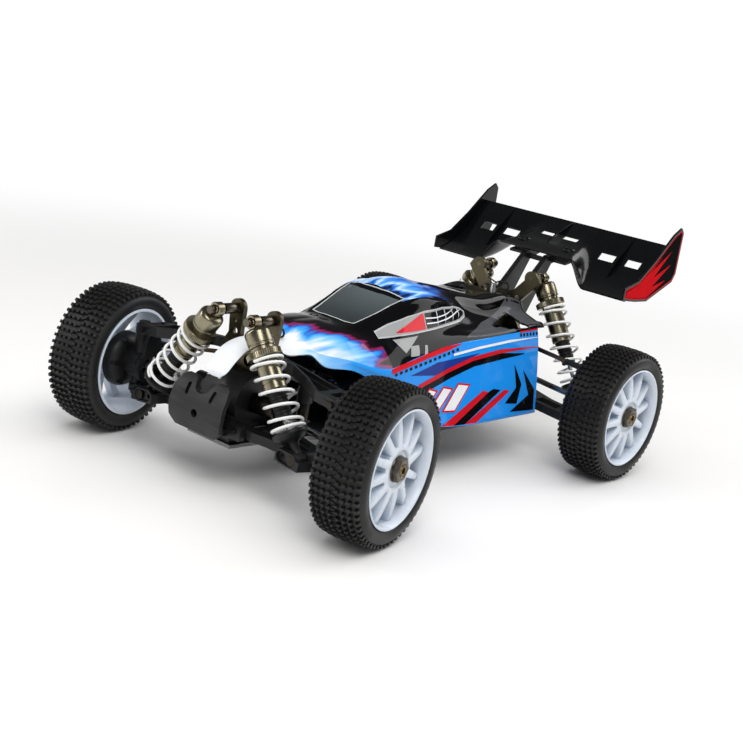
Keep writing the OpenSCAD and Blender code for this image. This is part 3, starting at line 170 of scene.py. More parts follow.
def steel(name="ground_steel", tones=("#8d8d8e", "#b4b4b3"), rough=(0.22, 0.38)):
    """Ground steel: grey, bright and a little oily."""
    material, tree, shader = finish(name, tones[0], 0.3, Metallic=1.0)
    speckle(tree, shader, 0.9, 0.01, rough, tones)
    return material


def spring_enamel():
    """Powder-coated spring wire: white, glossy, with a slight orange-peel ripple."""
    material, tree, shader = finish("white_spring_enamel", "#f0f0ee", 0.28,
                                    Coat_Weight=0.4, Coat_Roughness=0.15)
    speckle(tree, shader, 0.7, 0.03, (0.22, 0.36), ("#ececea", "#f6f6f4"))
    return material


def wing_nylon():
    """Injected nylon of the wing: black, with soft glossy streaks from the polished mould."""
    material, tree, shader = finish("glossy_black_nylon", "#070809", 0.2, Specular_IOR_Level=0.1,
                                    Coat_Weight=0.4, Coat_Roughness=0.08)
    speckle(tree, shader, 6.0, 0.05, (0.16, 0.3), ("#060708", "#0d0e10"))
    return material


def vinyl(name, base, deep, coat=0.35):
    """Printed and laminated vinyl film: even colour, with all its gloss in the clear coat."""
    material, tree, shader = finish("vinyl_" + name, base, 0.3, Specular_IOR_Level=0.0,
                                    Coat_Weight=coat, Coat_Roughness=0.06)
    speckle(tree, shader, 18.0, 0.01, (0.26, 0.36), (base, deep))
    return material


SCREEN_HEIGHTS = {"From Min": 117 * MM, "From Max": 140 * MM}


def smoked_film():
    """Smoked window film behind clear polycarbonate: dark grey, paler to the top, mirror-like."""
    material, tree, shader = finish("smoked_window_film", "#2a3436", 0.12,
                                    Coat_Weight=1.0, Coat_Roughness=0.03)
    place = add(tree, "TexCoord").outputs["Object"]
    height = add(tree, "SeparateXYZ", links={"Vector": place}).outputs["Z"]
    fade = add(tree, "MapRange", SCREEN_HEIGHTS, {"Value": height}).outputs["Result"]
    tone = add(tree, "Mix", {6: colour("#1b2224"), 7: colour("#565f62")}, {0: fade}, data_type="RGBA")
    tree.links.new(tone.outputs[2], shader.inputs["Base Color"])
    return material


NOSE = {"From Min": (MID_X + 126) * MM, "From Max": (MID_X + 146) * MM}
BRUSHED = (0.12, 1.0, 1.0)  # streaks run along the car, eight times as long as wide
STREAK_W = 9
RIPPLE = 12  # size of the waves in the clear shell


def shell_paint(name, tones, streak, slant=0.0, whiten=0.0):
    """Paint sprayed inside clear polycarbonate: tones that melt together in streaks, under a deep gloss.

    The tones are (mm ahead of mid-wheelbase, colour). A streak is the reach of one tone into the next in mm.
    The slant brings the tones back by a share of the distance from the middle, and at the nose the last tone
    comes some mm early.
    """
    material, tree, shader = finish(name, tones[0][1], 0.3, Specular_IOR_Level=0.0,
                                    Coat_Weight=0.6, Coat_Roughness=0.04)
    place = add(tree, "TexCoord").outputs["Object"]
    axes = add(tree, "SeparateXYZ", links={"Vector": place}).outputs
    aside = add(tree, "Math", links={0: axes["Y"]}, operation="ABSOLUTE").outputs[0]
    leaning = add(tree, "Math", {1: slant}, {0: aside, 2: axes["X"]}, operation="MULTIPLY_ADD").outputs[0]
    nose = add(tree, "MapRange", {**NOSE, "To Max": whiten * MM}, {"Value": axes["X"]}).outputs["Result"]
    ahead = add(tree, "Math", links={0: leaning, 1: nose}, operation="ADD").outputs[0]
    brushed = add(tree, "Mapping", {"Scale": BRUSHED}, {"Vector": place}).outputs["Vector"]
    drift = add(tree, "TexNoise", {"Scale": per_mm(STREAK_W), "Detail": 2.0}, {"Vector": brushed}).outputs["Fac"]
    wander = add(tree, "MapRange", {**NOISE, "To Min": -streak * MM, "To Max": streak * MM}, {"Value": drift})
    reach = add(tree, "Math", links={0: ahead, 1: wander.outputs["Result"]}, operation="ADD").outputs[0]
    first, last = tones[0][0], tones[-1][0]
    length = {"From Min": (MID_X + first) * MM, "From Max": (MID_X + last) * MM}
    share = add(tree, "MapRange", length, {"Value": reach})
    ramp = add(tree, "ValToRGB", links={"Fac": share.outputs["Result"]})
    stops = ramp.color_ramp.elements
    for at, tone in tones[1:-1]:
        stops.new((at - first) / (last - first)).color = colour(tone)
    stops[0].color, stops[-1].color = colour(tones[0][1]), colour(tones[-1][1])
    tree.links.new(ramp.outputs["Color"], shader.inputs["Base Color"])
    ripple = add(tree, "TexNoise", {"Scale": per_mm(RIPPLE), "Detail": 1.0}, {"Vector": place}).outputs["Fac"]
    bump = add(tree, "Bump", {"Strength": 0.15, "Distance": 0.05 * MM}, {"Height": ripple})
    tree.links.new(bump.outputs["Normal"], shader.inputs["Coat Normal"])
    return material


RUBBER = tyre_rubber()
NYLON = moulded_nylon()
BOOT = moulded_nylon("soft_boot_rubber", "#0a0a0a", "#131313")
WHEEL = wheel_nylon()
CHAMPAGNE = anodised("champagne_anodised_aluminium", ("#837c67", "#a09983"), (0.18, 0.32))
GUNMETAL = anodised("olive_anodised_plate", ("#4a4536", "#665f4c"), (0.3, 0.45))
NUT = anodised("gunmetal_anodised_nut", ("#565047", "#777064"), (0.2, 0.34))
BRONZE = anodised("bronze_axle_end", ("#6d5a3c", "#8c7650"), (0.25, 0.4))
STEEL = steel()
DARK_STEEL = steel("blackened_steel", ("#2c2a27", "#47423b"), (0.3, 0.45))
LINK_STEEL = steel("browned_turnbuckle_steel", ("#5a4c3e", "#7d6c5a"), (0.28, 0.42))
SPRING = spring_enamel()
WING = wing_nylon()
CHASSIS = anodised("grey_anodised_chassis", ("#5c5d5e", "#7b7c7d"), (0.35, 0.5))
RED = vinyl("red", "#d81e2c", "#c01826")
BLACK = vinyl("black", "#08090b", "#0f1012")
WHITE = vinyl("white", "#f0f2f4", "#e2e6ea")
NAVY = vinyl("navy", "#1c2f78", "#24409a")
SATIN_RED = vinyl("satin_red", "#d4121c", "#bc0e18", 0.05)
SATIN_BLACK = vinyl("satin_black", "#060607", "#0b0b0d", 0.05)
SILVER = vinyl("silver", "#a9adad", "#c2c6c6")
GREY = vinyl("grey", "#8f9090", "#a5a6a6")
SMOKE = smoked_film()
SIDE_TONES = [(60, "#1f92f0"), (100, "#2f9cf2"), (126, "#9ccef6"), (142, "#eef2f5")]
HOOD_TONES = [(112, "#08080a"), (126, "#160a16"), (133, "#8a2050"), (138, "#3a3f96"), (144, "#2f94f0"),
              (156, "#7cbef5"), (172, "#eef2f5")]
ROOF_TONES = [(-52, "#08080a"), (-34, "#151a3c"), (-16, "#2a62c4"), (0, "#4d98ea"), (12, "#bcd9f4"),
              (22, "#2f7ad8"), (30, "#142048")]
SIDE_PAINT = shell_paint("sprayed_blue_paint", SIDE_TONES, 8)
HOOD_PAINT = shell_paint("airbrushed_hood_paint", HOOD_TONES, 15, slant=1.2, whiten=40)
ROOF_PAINT = shell_paint("airbrushed_roof_paint", ROOF_TONES, 20)
SHELL_BLACK = vinyl("gloss_black", "#08080a", "#0f0f11")
GUN_GREY = vinyl("gun_grey", "#3c3d40", "#55565a")
NET_BLACK = vinyl("net_black", "#0c0d0f", "#14161a")
BALL = steel("coppered_ball", ("#8f7864", "#b89c84"), (0.2, 0.32))


# Meshes

def put(name, data):
    """New object of the scene."""
    obj = bpy.data.objects.new(name, data)
    bpy.context.scene.collection.objects.link(obj)
    return obj


def piece(name, body, build, materials, replaces=(), smooth=40, bevel=0):
    """A mesh piece from a function that fills a bmesh in millimetres, riding on a body."""
    bm = bmesh.new()
    build(bm)
    bmesh.ops.scale(bm, vec=Vector((MM, MM, MM)), verts=bm.verts)
    bmesh.ops.recalc_face_normals(bm, faces=bm.faces)
    mesh = bpy.data.meshes.new(name)
    bm.to_mesh(mesh)
    bm.free()
    obj = put(name, mesh)
    for material in materials:
        mesh.materials.append(material)
    shade(obj, smooth, bevel)
    if body:
        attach(obj, body)
    if replaces:
        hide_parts(*replaces)
    return obj


def round_edges(obj, width, angle, harden=True):
    """Breaks the edges that are sharper than an angle in degrees by a bevel in mm."""
    edge = obj.modifiers.new("edges", "BEVEL")
    edge.width = width * MM
    edge.segments = 2
    edge.limit_method = "ANGLE"
    edge.angle_limit = math.radians(angle)
    edge.harden_normals = harden
    return edge


def thicken(obj, thickness, offset):
    """Turns a surface into a sheet of a thickness in mm, set inwards (-1) or about the surface (0)."""
    sheet = obj.modifiers.new("sheet", "SOLIDIFY")
    sheet.thickness = thickness * MM
    sheet.offset = offset


def shade(obj, smooth, bevel):
    """Rounds the sharp edges by a bevel in mm and shades the rest smooth."""
    for polygon in obj.data.polygons:
        polygon.use_smooth = True
    if bevel:
        round_edges(obj, bevel, smooth).miter_outer = "MITER_ARC"
    obj.data.set_sharp_from_angle(angle=math.radians(smooth))


def ring_of(bm, points):
    """New vertices at points."""
    return [bm.verts.new(p) for p in points]


def angles(steps):
    """Even angles of a full turn."""
    return [2 * math.pi * k / steps for k in range(steps)]


def circle(matrix, radius, height, steps):
    """Points of a circle about the local Z axis."""
    return [matrix @ Vector((radius * math.cos(a), radius * math.sin(a), height)) for a in angles(steps)]


def bridge(bm, a, b, index=0):
    """Quads between two closed rows of vertices."""
    for i in range(len(a)):
        j = (i + 1) % len(a)
        bm.faces.new((a[i], a[j], b[j], b[i])).material_index = index


def loft(bm, rows, caps=(0, -1), index=0):
    """Skin over rows of vertices, closed at the rows that caps names."""
    for a, b in zip(rows, rows[1:]):
        bridge(bm, a, b, index)
    for cap in caps:
        bm.faces.new(rows[cap]).material_index = index


def lathe(bm, profile, matrix, steps, index=0, closed=True):
    """Turns a profile of (radius, height) about the local Z axis."""
    rows = []
    for radius, height in profile:
        if radius < 1e-6:
            rows.append([bm.verts.new(matrix @ Vector((0, 0, height)))] * steps)
            continue
        rows.append(ring_of(bm, circle(matrix, radius, height, steps)))
    for a, b in zip(rows, rows[1:] + rows[:1] if closed else rows[1:]):
        for i in range(steps):
            j = (i + 1) % steps
            corners = list(dict.fromkeys((a[i], a[j], b[j], b[i])))
            if len(corners) > 2:
                bm.faces.new(corners).material_index = index


def frame_to(point, axis):
    """Matrix whose Z axis is the given direction, with a level X axis, at a point in mm."""
    z = Vector(axis).normalized()
    x = Vector((0, 0, 1)).cross(z)
    x = x.normalized() if x.length > 1e-4 else Vector((1, 0, 0))
    y = z.cross(x)
    return Matrix.Translation(Vector(point)) @ Matrix((x, y, z)).transposed().to_4x4()


def tube(bm, path, radius, sides):
    """Round tube along points, with flat ends."""
    rows = []
    for i, p in enumerate(path):
        t = (path[min(i + 1, len(path) - 1)] - path[max(i - 1, 0)]).normalized()
        if i == 0:
            side = t.orthogonal().normalized()
        side = (side - t * side.dot(t)).normalized()
        other = t.cross(side)
        rows.append(ring_of(bm, [p + radius * (math.cos(a) * side + math.sin(a) * other) for a in angles(sides)]))
    loft(bm, rows)


# Wheels and tyres, in the wheel's own frame: Z points out along the axle

TYRE_R = (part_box("rear_left_tyre")[1].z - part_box("rear_left_tyre")[0].z) / 2 / MM
TYRE_W = (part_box("rear_left_tyre")[1].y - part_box("rear_left_tyre")[0].y) / MM
RIM_R = 42.5
CROWN_FALL = 2.6  # fall of the crown from the middle to the wall
PIN_COLUMNS = (2.9, 7.7, 12.5, 17.3)
PIN_ROWS = 64
PIN_H = 2.4
PIN_L = 0.82  # length along the tyre, as a share of the width
PIN_HALF = 1.3
EDGE_PIN_HALF = 1.45
PIN_FOOT = 0.4  # depth of the foot in the carcass
WEB_RISE = 0.3  # height as a share of a pin's
WEB_HALF = (0.6, 0.45)  # half width at the foot and at the top


def wheel_frame(corner):
    """Matrix of a wheel: centre of its tyre, Z out along its axle."""
    low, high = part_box(corner + "_tyre")
    centre = (low + high) / 2 / MM
    axis = Vector(joints[corner + "_spin"]["axis"])
    out = axis if axis.y * centre.y > 0 else -axis
    return frame_to(centre, out)


def crown(y):
    """Radius of the carcass under the tread at a distance from the middle."""
    half = TYRE_W / 2
    return TYRE_R - PIN_H - CROWN_FALL * (abs(y) / half) ** 3


def build_tyre(bm, matrix):
    """Carcass with its bead, bulging walls and crown, and the rows of pins; the outer half is half a row ahead."""
    half = TYRE_W / 2
    side = [(RIM_R - 1.5, half - 3.4), (RIM_R + 0.4, half - 2.4), (RIM_R + 1.6, half - 0.9),
            (RIM_R + 5, half - 0.1), (RIM_R + 8, half - 0.4), (RIM_R + 9.2, half - 1.6)]
    across = [half - 3 - k * (TYRE_W - 6) / 14 for k in range(15)]
    profile = side + [(crown(y), y) for y in across] + [(r, -y) for r, y in reversed(side)]
    inner = [(RIM_R + 3, -half + 6), (TYRE_R - 6, -half + 9), (TYRE_R - 6, half - 9), (RIM_R + 3, half - 6)]
    lathe(bm, profile + inner, matrix, 96)
    pitch = 2 * math.pi / PIN_ROWS
    for s in (1, -1):
        for column, y in enumerate(PIN_COLUMNS):
            outer = column == len(PIN_COLUMNS) - 1
            top = min(TYRE_R, crown(y) + PIN_H)
            for row in range(PIN_ROWS):
                angle = (row + (0.5 if s > 0 else 0)) * pitch
                tread_pin(bm, matrix, angle, s * y, crown(y) - PIN_FOOT, top, EDGE_PIN_HALF if outer else PIN_HALF)
    y = PIN_COLUMNS[0]
    for k in range(2 * PIN_ROWS):
        ends = [((k + d) * pitch / 2, y if (k + d) % 2 else -y) for d in (0, 1)]
        tread_web(bm, matrix, ends, crown(y) - PIN_FOOT, crown(y) + WEB_RISE * PIN_H)


def tread_web(bm, matrix, ends, low, high):
    """Low wall between two pins given as (angle, y); the walls make the zigzag line in the middle of the tread."""
    rows = []
    for radius, half in zip((low, high), WEB_HALF):
        p, q = (Vector((angle * radius, y)) for angle, y in ends)
        n = (q - p).orthogonal().normalized() * half
        turned = [(c.x / radius, c.y) for c in (p - n, p + n, q + n, q - n)]
        corners = [Vector((radius * math.cos(a), radius * math.sin(a), y)) for a, y in turned]
        rows.append(ring_of(bm, [matrix @ c for c in corners]))
    loft(bm, rows, caps=(-1,))


def tread_pin(bm, matrix, angle, y, low, high, half):
    """Block pin, wider across the tyre than along it, with a slight foot and a broken top edge."""
    rows = []
    for radius, share in ((low, 1.08), (low + 0.6, 1.0), (high - 0.25, 0.95), (high, 0.8)):
        w = half * share
        corners = []
        for dy, dw in ((-w, -PIN_L * w), (-w, PIN_L * w), (w, PIN_L * w), (w, -PIN_L * w)):
            a = angle + dw / radius
            corners.append(matrix @ Vector((radius * math.cos(a), radius * math.sin(a), y + dy)))
        rows.append(ring_of(bm, corners))
    loft(bm, rows, caps=(-1,))


SPOKES = 12
SPOKE_TURN = 0.3  # turn of the first spoke, as a share of the pitch
SPOKE_ROOT = 14
SPOKE_LENGTH = 26
HUB_FACE = 15.4
SPOKE_FACE = 17
SPOKE_DROP = 3.4
SPOKE_DEPTH = 8
NUT_TOP = 20.4
AXLE_TIP = 20.8


def build_rim(bm, matrix):
    """Wheel: barrel with thin lips, hub with a raised collar about the nut, and spokes."""
    half = TYRE_W / 2
    barrel = [(39.4, half - 12), (39.8, half - 5), (40.9, half - 1.5), (41.3, half - 1), (42.1, half - 1),
              (42.5, half - 1.3), (42.5, half - 1.9), (41, half - 2.3), (41, -half + 2.3), (42.5, -half + 1.9),
              (42.5, -half + 1.2), (40.4, -half + 1), (39.8, -half + 2), (39.4, -half + 8), (39.3, 0)]
    lathe(bm, barrel, matrix, 96)
    hub = [(4.3, HUB_FACE), (12.4, HUB_FACE), (13.4, SPOKE_FACE - 0.3), (14.2, SPOKE_FACE),
           (16.4, SPOKE_FACE - 0.1), (17.6, SPOKE_FACE - 1), (17.6, SPOKE_FACE - SPOKE_DEPTH), (14, -4), (4.3, -4)]
    lathe(bm, hub, matrix, 64)
    for k in range(SPOKES):
        build_spoke(bm, matrix @ Matrix.Rotation(2 * math.pi * (k + SPOKE_TURN) / SPOKES, 4, "Z"))


def build_spoke(bm, matrix):
    """Finger that leaves the hub level and broad, and dips in a curve to the barrel."""
    rows = []
    steps = 14
    for k in range(steps + 1):
        t = k / steps
        radius = SPOKE_ROOT + SPOKE_LENGTH * t
        face = SPOKE_FACE - SPOKE_DROP * t ** 2
        half = 2.7 - 0.2 * math.sin(math.pi * t) + 1.0 * (1 - t) ** 3
        section = [(-half, face - 0.9), (-half + 0.9, face), (half - 0.9, face), (half, face - 0.9),
                   (half + 0.5, face - SPOKE_DEPTH), (-half - 0.5, face - SPOKE_DEPTH)]
        rows.append(ring_of(bm, [matrix @ Vector((radius, w, z)) for w, z in section]))
    loft(bm, rows)


HEX = 17  # across flats
NUT_FLATS = 15.6
AXLE_INNER = {"front": -20.0, "rear": -14.5}


def prism(bm, matrix, across_flats, z0, z1, chamfer, index=0):
    """Hexagon with broken corners on its outer face, which stays open; returns the corners of that face."""
    r = across_flats / 2 / math.cos(math.pi / 6)
    levels = ((z0, r), (z1 - chamfer, r), (z1, r - chamfer * 1.6))
    rows = [ring_of(bm, circle(matrix, radius, z, 6)) for z, radius in levels]
    loft(bm, rows, caps=(0,), index=index)
    return rows[-1]


def build_nut(bm, matrix):
    """Wheel nut: hexagon with a turned collar about the thread, on a washer."""
    top = prism(bm, matrix, NUT_FLATS, HUB_FACE + 0.6, NUT_TOP, 0.7)
    bridge(bm, top, ring_of(bm, circle(matrix, 5.6, NUT_TOP, 6)))
    lathe(bm, [(4.2, NUT_TOP - 1.3), (5.4, NUT_TOP - 0.1), (6.4, NUT_TOP + 0.1), (6.6, NUT_TOP - 2)], matrix, 48)
    lathe(bm, [(4.2, HUB_FACE + 0.05), (9.3, HUB_FACE + 0.05), (9.5, HUB_FACE + 0.4), (9.3, HUB_FACE + 0.9),
               (7, HUB_FACE + 1.2), (4.2, HUB_FACE + 1.2)], matrix, 64)


def box(bm, matrix, x, y, z):
    """Block between two values on each axis."""
    v = ring_of(bm, [matrix @ Vector((a, b, c)) for c in z for b in y for a in x])
    for f in ((0, 1, 3, 2), (4, 6, 7, 5), (0, 4, 5, 1), (1, 5, 7, 3), (3, 7, 6, 2), (2, 6, 4, 0)):
        bm.faces.new([v[i] for i in f])


def build_axle(bm, matrix, inner):
    """Axle with its drive hex, a threaded tip and a hollow end."""
    turns = 6
    thread = []
    for k in range(turns):
        z = HUB_FACE + 0.4 + k * (AXLE_TIP - HUB_FACE - 1) / turns
        thread += [(3.75, z), (3.98, z + 0.4)]
    bore = [(3.5, AXLE_TIP), (2.9, AXLE_TIP), (2.5, AXLE_TIP - 0.5), (2.3, AXLE_TIP - 4), (0, AXLE_TIP - 4.6)]
    lathe(bm, [(0, inner), (3.6, inner), (4, inner + 0.6), (4, HUB_FACE)] + thread + bore, matrix, 40, closed=False)
    hexagon = prism(bm, matrix, HEX, -8, -2.6, 0.6, index=1)
    bm.faces.new(hexagon).material_index = 1


def build_bell(bm, matrix):
    """Moulded bell of the steering knuckle, which shields the bearing and the drive hex inside the wheel."""
    lathe(bm, [(8.3, -16.5), (14, -16.5), (17.5, -15), (20.5, -12), (21.8, -9), (22, -5.6), (21.4, -4.9),
               (16, -4.9), (15.6, -9.5), (8.3, -9.5)], matrix, 64)
    for k in range(6):
        box(bm, matrix @ Matrix.Rotation(math.pi * k / 3, 4, "Z"), (13, 20.6), (-1.2, 1.2), (-16.8, -11))


for corner in CORNERS:
    place = wheel_frame(corner)
    wheel = corner + "_wheel"
    end = corner.split("_")[0]
    if end == "front":
        piece(corner + "_knuckle_bell", corner + "_knuckle", lambda bm: build_bell(bm, place), [NYLON], smooth=35)
    piece(corner + "_pin_tyre", wheel, lambda bm: build_tyre(bm, place), [RUBBER], [corner + "_tyre"])
    piece(corner + "_rim", wheel, lambda bm: build_rim(bm, place), [WHEEL], [wheel], smooth=50)
    piece(corner + "_wheel_nut", wheel, lambda bm: build_nut(bm, place), [NUT], smooth=30)
    piece(corner + "_axle", wheel, lambda bm: build_axle(bm, place, AXLE_INNER[end]), [BRONZE, DARK_STEEL], smooth=30)


# Shock absorbers, in their own frame: top eye at the origin, rod down along -Z

SPRING_R = 11.6
WIRE_R = 1.15
COLLAR = 27  # underside of the collar below the top eye
CUP_UP = 20.7  # seat of the cup above the lower eye
TURNS = {"front": 6.5, "rear": 7.5}
BODY_END = {"front": 50.5, "rear": 60.2}
ROD_TOP = {"front": 36.5, "rear": 42.5}
LOW_EYE_R = 5
KNURL_TEETH = 56
BOOT_RIBS = 8
BOOT_PITCH = 2.6
BOOT_LENGTH = 20.9


def shock_frame(corner):
    """Matrix of a shock, and its length between the eyes."""
    top = Vector(joints[corner + "_shock_swing"]["pos_m"]) / MM
    down = Vector(joints[corner + "_shock_stroke"]["axis"])
    low_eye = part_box(corner + "_shock_rod")[0].z / MM + LOW_EYE_R
    return frame_to(top, -down), (low_eye - top.z) / down.z


def build_eye(bm, matrix, outer, width):
    """Ring across the shock that holds its ball."""
    across = matrix @ Matrix.Rotation(math.pi / 2, 4, "Y")
    w = width / 2
    lathe(bm, [(outer - 1.8, -w), (outer - 0.6, -w), (outer, -w + 0.6),
               (outer, w - 0.6), (outer - 0.6, w), (outer - 1.8, w)], across, 48)


def build_ball(bm, matrix, radius, bore):
    """Bored ball inside an eye, in the second material."""
    across = matrix @ Matrix.Rotation(math.pi / 2, 4, "Y")
    reach = math.sqrt(radius ** 2 - bore ** 2)
    arc = [-reach + 2 * reach * k / 10 for k in range(11)]
    lathe(bm, [(math.sqrt(radius ** 2 - z * z), z) for z in arc] + [(bore, reach), (bore, -reach)], across, 32, 1)


def build_shock(bm, matrix, end):
    """Damper: eye and ball, cap, plain body to its end in mm, knurled collar and ribbed boot."""
    build_eye(bm, matrix, 5.4, 6.4)
    build_ball(bm, matrix, 3.6, 2.15)
    cap = [(0, -5.0), (5.2, -5.0), (7.6, -5.6), (9.0, -6.8), (9.5, -8.4), (9.5, -16.0), (9.1, -16.5), (9.1, -17.0),
           (9.5, -17.5), (9.5, -18.6), (8.4, -19.2), (8.3, -COLLAR)]
    tail = [(8.3, -end + 5.2), (8.0, -end + 5.0), (8.0, -end + 4.4), (8.5, -end + 4.2), (8.5, -end + 0.5), (8.0, -end),
            (7.0, -end - 0.2), (0, -end - 0.2)]
    lathe(bm, cap + tail, matrix, 64, closed=False)
    rows = []
    for z, depth in ((-22.0, 0), (-22.5, 1), (-26.4, 1), (-COLLAR, 0)):
        ring = []
        for k in range(2 * KNURL_TEETH):
            r = 12.6 + (0.2 if k % 2 else -0.25) * depth - 0.5 * (1 - depth)
            a = math.pi * k / KNURL_TEETH
            ring.append(matrix @ Vector((r * math.cos(a), r * math.sin(a), z)))
        rows.append(ring_of(bm, ring))
    inner = [ring_of(bm, circle(matrix, 8.1, z, 2 * KNURL_TEETH)) for z in (-COLLAR, -22)]
    for a, b in zip(rows + inner, rows[1:] + inner + rows[:1]):
        bridge(bm, a, b)
    ribs = []
    for k in range(BOOT_RIBS):
        z, r = -end - 0.3 - BOOT_PITCH * k, 6.6 - 0.08 * k
        ribs += [(r, z), (r, z - 1.5), (r - 0.6, z - 1.9), (r - 0.6, z - 2.4)]
    lathe(bm, [(1.9, -end - 0.3)] + ribs + [(1.9, -end - BOOT_LENGTH)], matrix, 48, 2)


def build_shock_rod(bm, matrix, length, top):
    """Rod from its top in mm, with the spring's cup, the lower eye and its ball."""
    cup = length - CUP_UP
    lathe(bm, [(0, -top), (1.75, -top), (1.75, -length + 9), (0, -length + 9)], matrix, 24, 1, closed=False)
    seat = [(8.0, -cup - 1.0), (9.0, -cup - 0.3), (12.2, -cup - 0.3), (12.6, -cup - 0.8), (12.6, -cup - 2.6),
            (12.0, -cup - 3.4), (7.0, -cup - 6.6), (4.6, -cup - 8.4), (3.6, -cup - 10.5), (3.3, -length + 5.5),
            (3.6, -length + 3.6), (0, -length + 3.0), (0, -cup - 5), (7, -cup - 5)]
    lathe(bm, seat, matrix, 56)
    low = matrix @ Matrix.Translation((0, 0, -length))
    build_eye(bm, low, LOW_EYE_R, 7)
    build_ball(bm, low, 3.9, 2.9)


def coil(corner, matrix, length, bm):
    """Spring wire: close turns at both ends and even pitch between them."""
    turns = TURNS[corner.split("_")[0]]
    top, bottom = COLLAR + 0.15 + WIRE_R, length - CUP_UP - 0.15 - WIRE_R
    close = 2 * WIRE_R + 0.7
    pitch = (bottom - top - 2 * close) / (turns - 2)
    rings = 36
    count = int(turns * rings)
    path = []
    for k in range(count + 1):
        turn = k / rings
        if turn < 1:
            drop = turn * close
        elif turn > turns - 1:
            drop = bottom - top - (turns - turn) * close
        else:
            drop = close + (turn - 1) * pitch
        a = 2 * math.pi * turn
        path.append(matrix @ Vector((SPRING_R * math.cos(a), SPRING_R * math.sin(a), -top - drop)))
    tube(bm, path, WIRE_R, 12)


for corner in CORNERS:
    end = corner.split("_")[0]
    place, length = shock_frame(corner)
    piece(corner + "_damper", corner + "_shock", lambda bm: build_shock(bm, place, BODY_END[end]),
          [CHAMPAGNE, BALL, BOOT], [corner + "_shock_body"], smooth=35)
    piece(corner + "_damper_rod", corner + "_shock_rod", lambda bm: build_shock_rod(bm, place, length, ROD_TOP[end]),
          [NYLON, STEEL], [corner + "_shock_rod"], smooth=35)
    spring = piece(corner + "_coil", None, lambda bm: coil(corner, place, length, bm),
                   [SPRING], [corner + "_spring"], smooth=60)
    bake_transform(spring)


# Body shell: sections from the lower edge to the middle of the roof, in mm from mid-wheelbase and the ground

TONGUE_ROWS = [(189.8, 5, 81.8, 81.2), (189.3, 8.8, 84.2, 84.8), (187, 10.8, 87.6, 88.8), (181, 11.2, 94.4, 95.7),
               (172, 11, 101, 102.3), (162, 10.5, 104.6, 105.9), (152, 10.6, 105.6, 107.1)]
SHELL_ROWS = [
    (146, (26, 101), (24, 102), (21.5, 103), (17.5, 104.6), (12, 106.2), (6, 107.2), (0, 107.5)),
    (139, (32.8, 102.4), (30.5, 103.6), (27.5, 104.9), (23, 106.6), (15, 108.3), (7, 108.9), (0, 109)),
    (131, (37, 102.6), (35.2, 104), (32.5, 106), (27, 108.8), (18, 112.2), (8, 113.2), (0, 113.4)),
    (122, (44.8, 95), (42.3, 98.8), (39, 103), (33, 109.6), (19, 116.5), (8, 118), (0, 118)),
    (98, (52, 92), (51, 95), (49, 99), (37, 110), (22, 117), (9, 119), (0, 119)),
    (73, (57, 80), (59, 86), (59, 93), (43, 107), (25, 116), (11, 118.5), (0, 119)),
    (52, (62, 66), (61, 84), (59, 95), (47, 109), (28, 122), (13, 127), (0, 128)),
    (33, (66, 52), (62, 80), (58.5, 99), (47, 113), (32, 128.5), (15, 136), (0, 138)),
    (15, (68, 45), (63, 78), (58, 102), (46, 116), (34, 133), (17, 142.5), (0, 146)),
    (-5, (69.4, 42), (63.5, 78), (57.5, 105), (45, 117), (34.5, 134), (17, 144), (0, 147.5)),
    (-28, (70, 40), (63.5, 78), (57, 107), (43, 117), (32, 132), (16, 140.5), (0, 143.5)),
    (-55, (70, 39), (63.5, 78), (57, 108), (43, 114), (28, 127), (15, 137), (0, 139.5)),
    (-92, (70, 39), (63.5, 78), (56.5, 109.5), (45, 113), (31, 121), (24, 132), (0, 134)),
    (-125, (70, 39), (63.5, 78), (56, 111), (46, 115.5), (32, 124), (24.5, 135), (0, 131)),
    (-152, (70, 39), (63.5, 78), (55.5, 112), (45, 116), (32, 121), (25, 129), (0, 129)),
]
SHOULDER = 2  # place in a section at which the side ends
STEPS = 8
TAIL_X = -141
CAB_FRONT = 61
HOOD_FRONT = 140
ROOF = 4.2  # place in a section at which the roof starts
ROOF_FRONT = 24
SHELL_T = 1.2
RIDGE = ((78, 21), (70, 24.5), (45, 28), (15, 31.5), (-10, 33), (-35, 30), (-60, 25))
RIDGE_START, RIDGE_RUN_IN = 80, 16
RIDGE_END, RIDGE_RUN_OUT = -62, 30
RIDGE_RISE = 2.6
RIDGE_W = 3.4
TAIL_TOP = 112
VENT = ((TAIL_X + 12, 113), (TAIL_X + 22, 121), (TAIL_X + 54, 113))
VENT_INNER = 36


def curve_point(points, i, t):
    """Point of the Catmull-Rom curve at a share of the way from one point to the next."""
    last = len(points) - 1
    a, b, c, d = points[max(i - 1, 0)], points[i], points[i + 1], points[min(i + 2, last)]
    return 0.5 * (2 * b + (c - a) * t + (2 * a - 5 * b + 4 * c - d) * t * t + (3 * b - a - 3 * c + d) * t ** 3)


def curve(points, steps):
    """Points of the curve through points, with some steps from each to the next."""
    last = len(points) - 1
    return [curve_point(points, i, k / steps) for i in range(last) for k in range(steps)] + [points[last]]


def along(table, x):
    """Value of a table of (x, value), x falling, by straight lines."""
    for (x0, v0), (x1, v1) in zip(table, table[1:]):
        if x1 <= x <= x0:
            return v0 + (v1 - v0) * (x0 - x) / (x0 - x1)
    return table[0][1] if x > table[0][0] else table[-1][1]


def ridge(p):
    """Rise of the moulded roof pillars over the plain section."""
    run_in = min(1, max(0, (RIDGE_START - p.x) / RIDGE_RUN_IN))
    run_out = min(1, max(0, (p.x - RIDGE_END) / RIDGE_RUN_OUT))
    return RIDGE_RISE * run_in * run_out * math.exp(-((abs(p.y) - along(RIDGE, p.x)) / RIDGE_W) ** 2)


